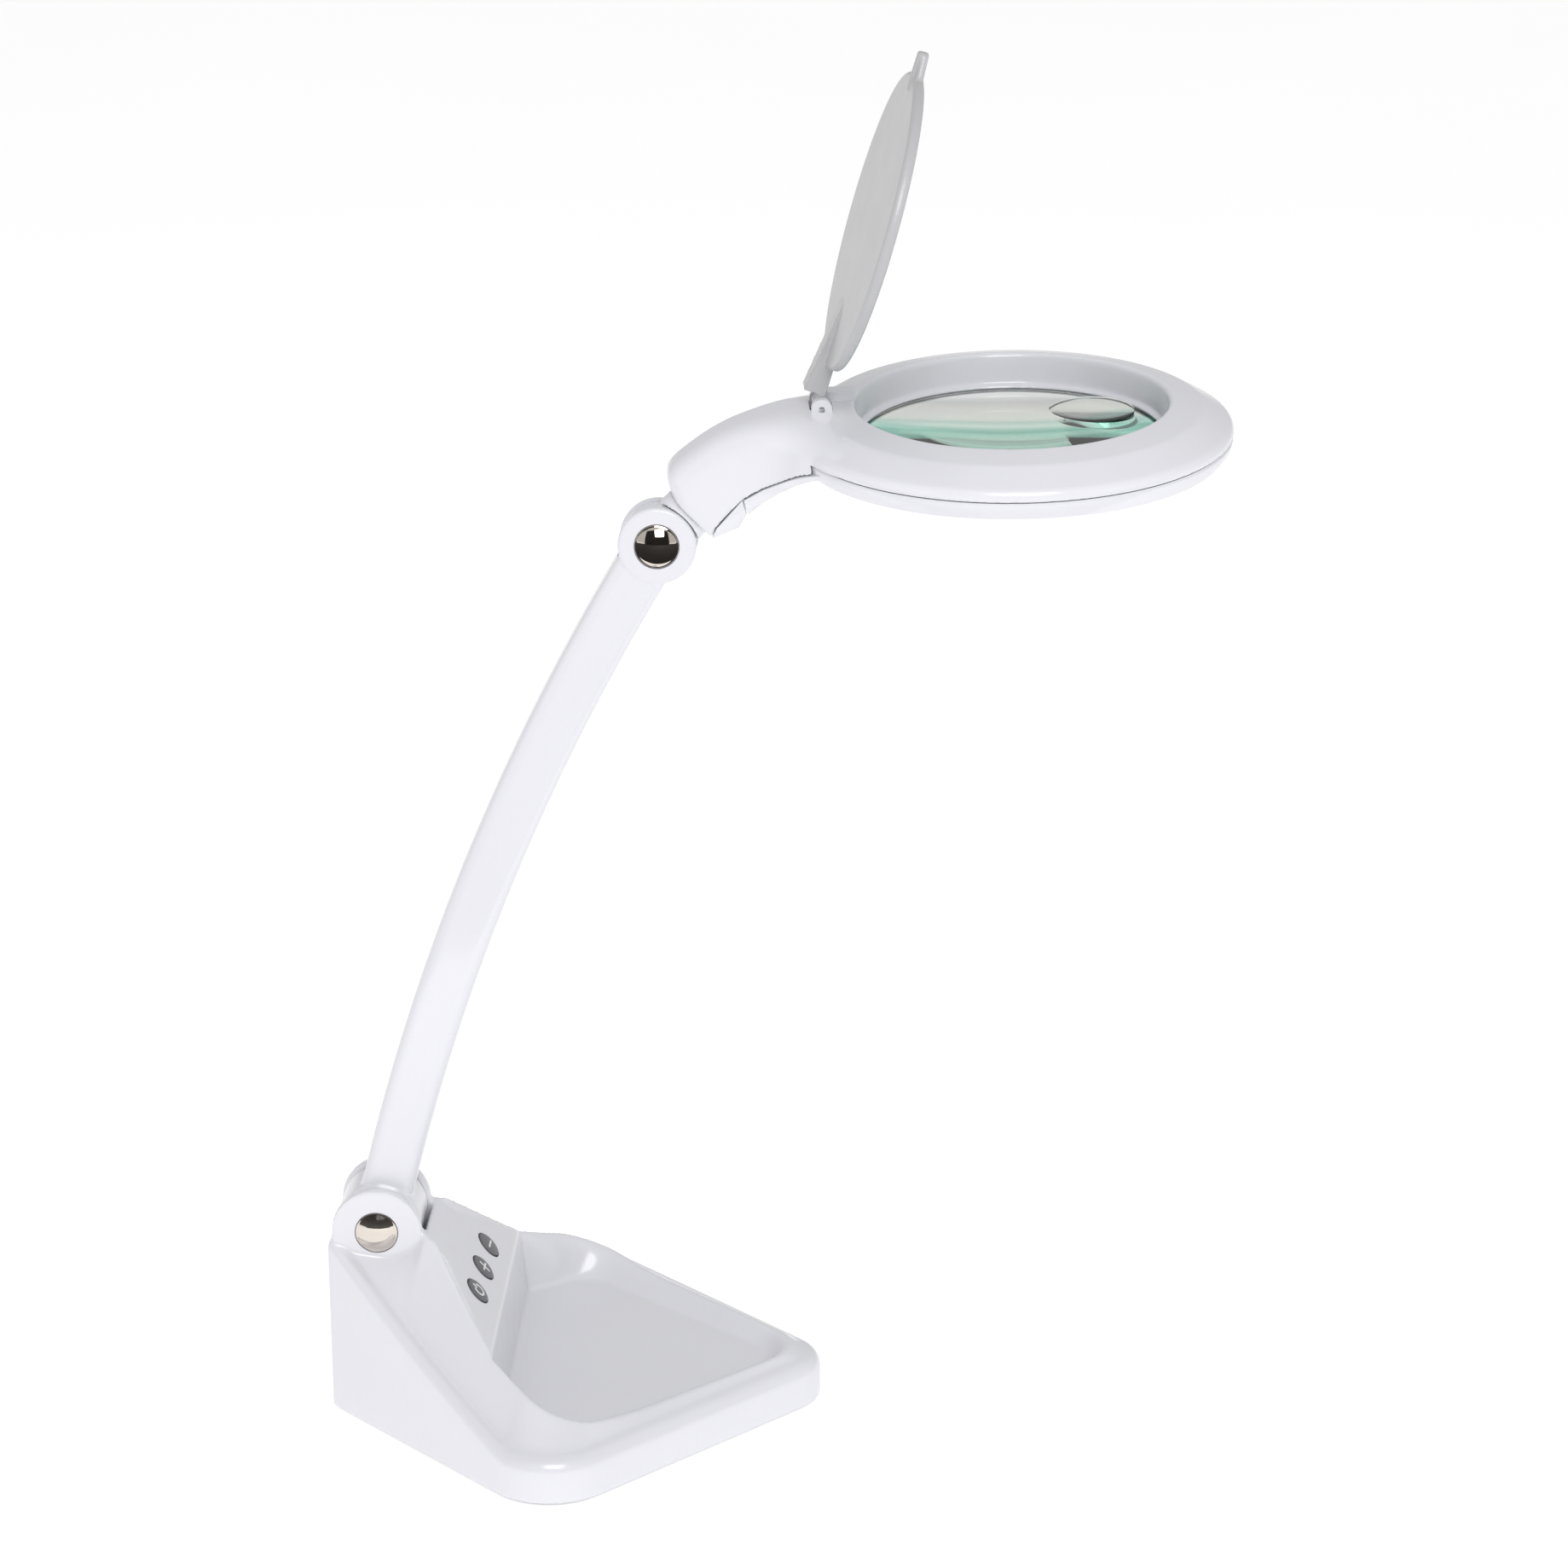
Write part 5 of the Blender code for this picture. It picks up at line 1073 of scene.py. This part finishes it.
# %% Hollow and gaps of the upper shell
inner = [neck_loop(*s, shrink=HEAD_WALL, below=HEAD_WALL) for s in neck_sections()]
inner[0] = [p + SWIVEL_AXIS * 1.2 * HEAD_WALL for p in inner[0]]
tail = [p + in_neck(2.0, -0.3) * HEAD_WALL for p in inner.pop()]
room_in, room_out = RING_CREST_IN + HEAD_WALL, RING_RADIUS - HEAD_WALL
room = turned(((room_in, 0.0), (room_out, 0.0), (room_out, PARTING),
               (RING_SHOULDER - 0.3 * HEAD_WALL, HEAD_RISE - SHOULDER_DROP - 1.1 * HEAD_WALL),
               (room_in, HEAD_RISE - 1.4 * HEAD_WALL)), 120)
trough_half, pin_hole_half = LID_STRAP_HALF + RUN, LID_STRAP_HALF + LUG
combine(upper_shell, [lofted(inner + [tail]), moved(room, RING_FRAME),
                      moved(disc(STEM_RADIUS + GAP, 0, STEM_END, PIN_STEPS), SHOULDER),
                      moved(tube(CHANNEL_IN, RING_RADIUS + GAP, 0.0, PARTING, RING_STEPS), RING_FRAME)])
combine(upper_shell, [lug_solid(LEFT), lug_solid(RIGHT), pad_solid()], "UNION")
combine(upper_shell, [
    moved(disc(LID_BARREL + 2 * RUN, -trough_half, trough_half, PIN_STEPS), across(lid_hinge)),
    moved(disc(LID_PIN + GAP, -pin_hole_half, pin_hole_half, BORE_STEPS), across(lid_hinge))])
upper_shell.data.transform(HEAD_FRAME)
keep(shaded(upper_shell), "head", "white_plastic", "head_top_shell")

# %% [markdown]
# ## Head: lower shell and neck cover
# The lower shell is a turned band with a tray that runs back under the neck. Its top
# edge is chamfered, so the parting line reads as a fine dark line all round.

# %% Solids of the lower shell
BAND_TOP = PARTING - GAP
BAND_LOW = BAND_TOP - BAND_HEIGHT
CHANNEL_ROOF = BAND_LOW + CHANNEL_DEPTH
CHANNEL_WALL, CHANNEL_SKIN, BAND_EASE = 0.0012, 0.0010, 0.0005
LENS_REST = HEAD_RISE - RECESS_DEPTH - LIP_THICK - LENS_EDGE - 2 * GAP


def band_outline():
    side_low = [(RING_RADIUS - BAND_TAPER / 4, BAND_LOW + 0.6 * BAND_HEIGHT)]
    foot = arc((RING_RADIUS - BAND_TAPER - 0.0012, BAND_LOW + 0.0012), 0.0012, -90, -10, 6)
    seat, roof = CHANNEL_IN - CHANNEL_WALL, CHANNEL_ROOF + CHANNEL_SKIN
    return ([(RING_RADIUS - 0.0009, BAND_TOP), (RING_RADIUS - HEAD_WALL, BAND_TOP),
             (RING_RADIUS - HEAD_WALL, CHANNEL_ROOF + HEAD_WALL), (CHANNEL_IN, CHANNEL_ROOF + HEAD_WALL),
             (CHANNEL_IN, roof), (seat, roof), (seat, LENS_REST), (LIP_IN, LENS_REST),
             (LIP_IN, BAND_LOW + BAND_EASE), (LIP_IN + BAND_EASE, BAND_LOW)]
            + foot + side_low + [(RING_RADIUS - GAP, BAND_TOP - 0.0007)])


def keel_row(section, depth, low_share, nudge=None):
    """Slice of a shallow trough that hangs below the upper shell's edge."""
    low, high, half = section
    up = (high - low).normalized()
    top = low - up * GAP + (nudge or Vector())
    keel = top - up * depth
    row = [top + Vector((-half, 0, 0))]
    for c, s in arc((0, 0), 1.0, 180, 360, 13)[1:-1]:
        reach = mix(half, half * low_share, abs(s) ** 0.8) * math.copysign(abs(c) ** 0.5, c)
        row.append(top.lerp(keel, abs(s) ** 0.45) + Vector((reach, 0, 0)))
    return row + [top + Vector((half, 0, 0))]


sections = neck_sections()
rear = sections[COVER_ROWS - 1:]
depths = [mix(0.0072, 0.0036, i / (len(rear) - 1)) for i in range(len(rear))]
tray_rows = [keel_row(section, depth, 0.84) for section, depth in zip(rear, depths)]
lower_shell = new_object("lower_moulding", moved(turned(band_outline(), RING_STEPS), RING_FRAME), white_gloss)
combine(lower_shell, [lofted(tray_rows)], "UNION")
combine(lower_shell, [moved(tube(CHANNEL_IN, CHANNEL_OUT, 0.0, CHANNEL_ROOF, RING_STEPS), RING_FRAME)])
lower_shell.data.transform(HEAD_FRAME)
keep(shaded(lower_shell), "head", "white_plastic", "head_bottom_shell")

# %% The neck cover
COVER_DEPTH = (0.0010, 0.0048, 0.0078, 0.0076)
cover_rows = []
for i, section in enumerate(sections[:COVER_ROWS]):
    nudge = {0: SWIVEL_AXIS * GAP, COVER_ROWS - 1: -in_neck(2 * GAP, 0)}.get(i)
    cover_rows.append(keel_row(section, COVER_DEPTH[i], 0.75, nudge))
neck_cover = new_object("neck_underside", lofted(cover_rows), white_gloss)
neck_cover.data.transform(HEAD_FRAME)
keep(shaded(neck_cover), "head", "white_plastic", "neck_cover")

# %% [markdown]
# ## Lens
# The lens is biconvex glass with a small strong insert near its far edge. Real glass
# bends light at both faces, so the lens is a closed solid with fine rings. Its colour is
# partly a faint real green and partly painted refraction: curved light and dark bands,
# greenest at the near edge, stand in for the rim and the lighted ring seen through the glass.

# %% Lens and reading insert
LENS_MID = HEAD_RISE - RECESS_DEPTH - LIP_THICK - GAP - LENS_EDGE / 2
INSERT_RADIUS, INSERT_X, INSERT_Y, INSERT_EDGE, INSERT_SAG = 0.0145, 0.0170, -0.0290, 0.0026, 0.0016


def biconvex(radius, edge, sag, rings):
    half = edge / 2
    sphere = (radius ** 2 + sag ** 2) / (2 * sag)
    reach = math.asin(radius / sphere)
    rise = [(sphere * math.sin(a), half + sag - sphere * (1 - math.cos(a)))
            for a in (reach * (1 - i / rings) for i in range(rings + 1))]
    return rise + [(r, -z) for r, z in reversed(rise)]


lens = new_object("lens_glass", turned(biconvex(LENS_RADIUS, LENS_EDGE, LENS_SAG, 20), 128), painted_refraction_glass)
combine(lens, [moved(disc(INSERT_RADIUS + 0.00005, -0.01, 0.01, DISC_STEPS), shift(INSERT_X, INSERT_Y))])
lens.data.transform(HEAD_FRAME @ shift(0, -HEAD_REACH, LENS_MID))
keep(shaded(lens, 30), "head", "crown_glass", "lens")
insert_outline = biconvex(INSERT_RADIUS, LENS_EDGE + 2 * INSERT_EDGE, INSERT_SAG, 16)
insert = new_object("insert_glass", turned(insert_outline), painted_refraction_glass)
insert.data.transform(HEAD_FRAME @ shift(INSERT_X, -HEAD_REACH + INSERT_Y, LENS_MID))
keep(shaded(insert, 30), "head", "crown_glass", "reading_insert")

# %% [markdown]
# ## Lighted ring
# Small lamps sit on a white board in the channel under the ring. Their number and
# spacing follow a circle, so one recipe sets a block on every point of a circle. It
# runs twice: once for the lamps' bodies and once for their yellow faces.

# %% Lamps on a circle
circle = Recipe("blocks_on_a_circle", {
    "Count": ("Int", 36), "Radius": ("Float", 0.062), "Size": ("Vector", (0.0035, 0.0028, 0.0008)),
    "Height": ("Float", 0.0), "Material": ("Material", None)})
given = circle.inputs
points = circle.node("GeometryNodeMeshCircle", None, {"Vertices": given["Count"], "Radius": given["Radius"]})
chip = circle.node("GeometryNodeMeshCube", None, {"Size": given["Size"]})
outward = circle.node("FunctionNodeAlignRotationToVector", {"axis": "X"},
                      {"Vector": circle.node("GeometryNodeInputPosition").outputs[0]})
repeated = circle.node("GeometryNodeInstanceOnPoints", None, {
    "Points": points.outputs[0], "Instance": chip.outputs[0], "Rotation": outward.outputs[0]})
lift = circle.node("ShaderNodeCombineXYZ", None, {2: given["Height"]})
raised = circle.node("GeometryNodeTransform", None, {
    "Geometry": repeated.outputs[0], "Translation": lift.outputs[0]})
circle.finish(raised.outputs[0], given["Material"])

LAMP_RADIUS, LAMPS = (CHANNEL_IN + CHANNEL_OUT) / 2, 36
BOARD = 0.0016
board_low = CHANNEL_ROOF - GAP - BOARD
for name, size, depth, finish in (("lamp_bodies", (0.0028, 0.0035, 0.0007), 0.00045, lamp_body),
                                  ("lamp_faces", (0.0018, 0.0024, 0.0002), 0.0009, phosphor)):
    lamps = circle.build(name, {"Count": LAMPS, "Radius": LAMP_RADIUS, "Size": size,
                                "Height": board_low - depth, "Material": finish})
    lamps.data.transform(HEAD_FRAME @ RING_FRAME)
    keep(lamps, "head", "circuit_board")
BOARDS = {"led_board": board_white, "led_driver_board": board_green, "control_board": board_green}
for name, finish in BOARDS.items():
    repaint(name, finish)

# %% The frosted cover
cover_low = BAND_LOW + GAP
RIBS, RIB_HIGH, COVER_THICK, COVER_STEPS = 26, 0.00025, 0.0012, 144
ribs = [(mix(CHANNEL_IN + GAP, CHANNEL_OUT - GAP, i / RIBS), cover_low + (RIB_HIGH if i % 2 else 0.0))
        for i in range(RIBS + 1)]
cover_top = [(radius, cover_low + COVER_THICK) for radius in (CHANNEL_OUT - GAP, CHANNEL_IN + GAP)]
cover = moved(turned(ribs + cover_top, COVER_STEPS), RING_FRAME)
diffuser = new_object("frosted_cover", cover, frosted)
diffuser.data.transform(HEAD_FRAME)
keep(shaded(diffuser, 20), "head", "frosted_cover", "led_diffuser")

# %% [markdown]
# ## Lid
# The lid is a thin dished disc with a rolled rim, a strap to its hinge and a pointed
# tab for a finger. It is made lying shut in its own frame, then opened.

# %% The lid's moulding
LID_RADIUS, LID_THICK, LID_TAB = 0.0505, 0.0038, 0.0085
LID_EASE, LID_DISH, TAB_HALF, TIP_HALF, FIN_HALF = 0.0014, 0.0012, 0.0085, 0.0020, 0.0016
SPINE_FROM, SPINE_TO, SPINE_HEIGHT = -0.0040, -0.0360, 0.0042
lid_low = -0.2 * LID_THICK
lid_high = lid_low + LID_THICK
LID_FRAME = HEAD_FRAME @ Matrix.Translation(lid_hinge) @ Matrix.Rotation(LID_REST, 4, "X")


def lid_outline():
    """Flat outer face, rounded edge, and a raised rim on the side that faces the lens."""
    edge = arc((LID_RADIUS - LID_EASE, lid_high - LID_EASE), LID_EASE, 0, 90, 7)
    dish = lid_low + LID_DISH
    return ([(0, dish), (LID_RADIUS - 0.0040, dish), (LID_RADIUS - 0.0030, lid_low),
             (LID_RADIUS - 0.0006, lid_low), (LID_RADIUS, lid_low + 0.0006)] + edge + [(0, lid_high)])


def sideways(outline, half):
    """A prism along X from a (y, z) outline."""
    return lofted([[Vector((x, y, z)) for y, z in outline] for x in (-half, half)])


tip = -LID_BACK - LID_RADIUS - LID_TAB
tab_root, tab_end = tip + LID_TAB * 1.6, tip + 0.0006
tab_outline = ((-TAB_HALF, tab_root), (-TIP_HALF, tab_end), (TIP_HALF, tab_end), (TAB_HALF, tab_root))
spine_outline = ((SPINE_FROM, lid_low + 0.0010), (SPINE_FROM, lid_high + SPINE_HEIGHT),
                 (SPINE_TO, lid_high + 0.0002), (SPINE_TO, lid_low + 0.0010))
fin_outline = ((tab_root, lid_low + 0.0004), (tab_end, lid_high - 0.0012),
               (tab_end, lid_high + 0.0004), (tab_root, lid_high + 0.0006))
strap = block((-LID_STRAP_HALF, -LID_BACK + LID_RADIUS * 0.9, lid_low + 0.0004),
              (LID_STRAP_HALF, 0, lid_high - 0.0008))
lid = melted("lid_moulding", [
    sideways(spine_outline, LID_STRAP_HALF), sideways(fin_outline, FIN_HALF),
    moved(turned(lid_outline(), 160), shift(0, -LID_BACK)),
    moved(disc(LID_BARREL, -LID_STRAP_HALF, LID_STRAP_HALF, PIN_STEPS), across()), strap,
    prism(tab_outline, lid_low + 0.0005, lid_high - 0.0007)], lid_gloss, 0.0006, 3)
combine(lid, [moved(disc(LID_PIN + GAP, -LID_RADIUS, LID_RADIUS, BORE_STEPS), across())])
lid.data.transform(LID_FRAME)
keep(shaded(lid), "lid", "lid_plastic", "lens_lid")

# %% [markdown]
# ## Underside and back
# Nobody sees these in daily use, but they are what makes a lamp look real when it is
# turned over: a bottom plate with air slots, ringed rubber feet, cross-head screws,
# and the round power inlet at the back.

# %% Air slots as a recipe
row = Recipe("bars_in_a_row", {
    "Count": ("Int", 9), "Pitch": ("Float", 0.005), "Size": ("Vector", (0.0016, 0.02, 0.01)),
    "Material": ("Material", None)})
given = row.inputs
step = row.node("ShaderNodeCombineXYZ", None, {0: given["Pitch"]})
line = row.node("GeometryNodeMeshLine", None, {"Count": given["Count"], "Offset": step.outputs[0]})
one_bar = row.node("GeometryNodeMeshCube", None, {"Size": given["Size"]})
bars = row.node("GeometryNodeInstanceOnPoints", None, {
    "Points": line.outputs[0], "Instance": one_bar.outputs[0]})
row.finish(bars.outputs[0], given["Material"])


def bars_solid(count, pitch, size, place):
    made = row.build("bars", {"Count": count, "Pitch": pitch, "Size": size, "Material": tray_satin})
    bm = bmesh.new()
    bm.from_mesh(made.data)
    bpy.data.objects.remove(made, do_unlink=True)
    return moved(bm, place @ shift(-pitch * (count - 1) / 2))


print("slot recipe ready")

# %% Bottom plate
FEET = {"foot_back": (0.0, 0.0), "foot_left": (-0.0640, -0.0640), "foot_right": (0.0640, -0.0640),
        "foot_front": (0.0, -0.1350)}
FOOT_RADIUS, FOOT_THICK = 0.0065, 0.0026
SCREW_RADIUS, SCREW_HEAD_RADIUS, SCREW_HEAD, SCREW_LENGTH = 0.0014, 0.0027, 0.0018, 0.0080
SLOTS, SLOT_PITCH, SLOT_SIZE = 9, 0.0052, (0.0018, 0.0240, 0.0100)
plate_in, plate_ease = BASE_WALL + GAP, 0.0004
loops = [flat_loop(plate_in + plate_ease, FOOT_PROUD), flat_loop(plate_in, FOOT_PROUD + plate_ease),
         flat_loop(plate_in, PLATE_TOP)]
plate = new_object("bottom_plate", lofted(loops), tray_satin)
label_recess = block((-0.024, -0.012, -0.01), (0.024, 0.012, FOOT_PROUD + 0.0003))
plate_cuts = [bars_solid(SLOTS, SLOT_PITCH, SLOT_SIZE, shift(0, -0.0330, 0.002)),
              moved(label_recess, shift(0, -0.085))]
for x, y in FEET.values():
    plate_cuts.append(moved(disc(FOOT_RADIUS + GAP, 0, FOOT_THICK + GAP), shift(x, y)))
for x, y in BOSS_PLACES:
    plate_cuts.append(moved(disc(SCREW_RADIUS + GAP, 0, 2 * PLATE_TOP, 32), shift(x, y)))
    plate_cuts.append(moved(disc(SCREW_HEAD_RADIUS + GAP, 0, FOOT_PROUD + SCREW_HEAD, 48), shift(x, y)))
combine(plate, plate_cuts)
keep(shaded(plate), "base", "grey_plastic", "base_bottom_plate")


# %% Feet and screws
def foot_solid():
    """A rubber disc with two grooves in its sole."""
    sole = [(0, 0.0), (0.0016, 0.0), (0.0018, 0.0004), (0.0026, 0.0004), (0.0028, 0.0), (0.0040, 0.0),
            (0.0042, 0.0004), (0.0050, 0.0004), (0.0052, 0.0)]
    return turned(sole + arc((FOOT_RADIUS - 0.0005, 0.0005), 0.0005, -90, 0, 5)
                  + [(FOOT_RADIUS, FOOT_THICK), (0, FOOT_THICK)], 72)


def screw_solid():
    """A round head with a point at the end of its shank."""
    top, seat = FOOT_PROUD + SCREW_LENGTH, FOOT_PROUD + SCREW_HEAD - GAP
    head = arc((SCREW_HEAD_RADIUS - 0.0005, FOOT_PROUD + 0.0008), 0.0005, -90, 0, 4)
    shank = [(SCREW_RADIUS, seat), (SCREW_RADIUS, top - 0.001), (0.0006, top), (0, top)]
    return turned([(0, FOOT_PROUD + GAP)] + head + [(SCREW_HEAD_RADIUS, seat)] + shank, 40)


CROSS_LONG, CROSS_THIN, CROSS_DEEP = 0.0018, 0.0003, 0.0013
for name, (x, y) in FEET.items():
    foot = new_object(f"{name}_sole", moved(foot_solid(), shift(x, y)), sole_rubber)
    keep(shaded(foot), "base", "rubber", name)
for i, (x, y) in enumerate(BOSS_PLACES, 1):
    screw = new_object(f"cross_screw_{i}", moved(screw_solid(), shift(x, y)), zinc_steel)
    combine(screw, [block((x - a, y - b, 0), (x + a, y + b, FOOT_PROUD + CROSS_DEEP))
                    for a, b in ((CROSS_LONG, CROSS_THIN), (CROSS_THIN, CROSS_LONG))])
    keep(shaded(screw), "base", "steel", f"base_screw_{i}")

# %% Power inlet
SOCKET_WALL, CONTACT = 0.0013, 0.0009
bore, deep = SOCKET_RADIUS - SOCKET_WALL, SOCKET_WALL - SOCKET_DEPTH
barrel_wall = [(0, -SOCKET_DEPTH), (SOCKET_RADIUS, -SOCKET_DEPTH), (SOCKET_RADIUS, -GAP - 0.0003),
               (SOCKET_RADIUS - 0.0003, -GAP), (bore + 0.0004, -GAP), (bore, -GAP - 0.0004), (bore, deep)]
contact_pin = [(CONTACT, deep), (CONTACT, -0.0018), (CONTACT - 0.0003, -0.0013), (0, -0.0013)]
inlet = turned(barrel_wall + contact_pin, 64)
inlet_piece = new_object("power_inlet", moved(inlet, socket_place), black_satin)
keep(shaded(inlet_piece), "base", "black_plastic", "dc_socket")

# %% [markdown]
# ## Finishes of the small CAD parts
# Bolts, nuts, washers, switches, the ballast and the arm's core keep their CAD shape.
# They only need their finishes, so each node gets the material for its slot.

# %% Materials for the nodes that stay
SLOT_FINISH = {"steel": zinc_steel, "chrome": chrome_with_painted_table_tint, "black_plastic": black_satin,
               "grey_plastic": tray_satin, "rubber": sole_rubber, "white_plastic": white_gloss}
for part in frame["record"]["subparts"]:
    if part["material_slot"] in SLOT_FINISH:
        repaint(part["node"], SLOT_FINISH[part["material_slot"]])
print("finishes given to", ", ".join(SLOT_FINISH))

# %% [markdown]
# ## Studio
# A white sweep, a bright even sky and one large soft light by the camera give flat,
# clean product light. Two dark cards that only mirrors see, one upright and one lying,
# give the chrome caps something dark to reflect.

# %% Floor, world and lights
floor_finish = Finish("floor_paper", 0.9, Emission_Color=(1.0, 1.0, 1.0, 1.0), Emission_Strength=0.38)
floor_finish.tint(floor_finish.noise(3.0), (0.93, 0.93, 0.935), (0.95, 0.95, 0.955))
floor = new_object("studio_floor", block((-30, -30, -0.02), (30, 30, 0.0)), floor_finish.material)

world = bpy.data.worlds.new("studio_sky")
world.use_nodes = True
world.node_tree.nodes["Background"].inputs["Color"].default_value = (1.0, 1.0, 1.0, 1.0)
world.node_tree.nodes["Background"].inputs["Strength"].default_value = 0.62
scene.world = world
scene.view_settings.view_transform = "Standard"


def soft_light(name, place, aim, size, power):
    data = bpy.data.lights.new(name, "AREA")
    data.shape = "RECTANGLE"
    data.size, data.size_y = size
    data.energy = power
    light = bpy.data.objects.new(name, data)
    scene.collection.objects.link(light)
    light.location = place
    light.rotation_euler = (Vector(aim) - Vector(place)).to_track_quat("-Z", "Y").to_euler()
    light.visible_camera = False
    return light


soft_light("key", (-1.9, -0.35, 1.55), (0, -0.12, 0.2), (1.1, 0.9), 23)
card_finish = Finish("dark_card", 0.9)
card_finish.tint(card_finish.noise(2.0), (0.010, 0.009, 0.008), (0.020, 0.018, 0.016))


def dark_card(name, low, high):
    """A card that only mirrors see."""
    card = new_object(name, block(low, high), card_finish.material)
    card.visible_camera = False
    card.visible_transmission = False
    card.visible_diffuse = False
    card.visible_shadow = False


dark_card("card_upright", (-3.02, -2.4, 0.0), (-3.0, 2.4, 3.0))
dark_card("card_lying", (-3.0, -2.4, 0.150), (-0.07, 2.4, 0.152))
print("studio ready")

# %% [markdown]
# ## Finish

# %% Sizes and finish
total = sum(len(p.vertices) - 2 for piece in PIECES for p in piece.data.polygons)
print(len(PIECES), "pieces,", total, "triangles")
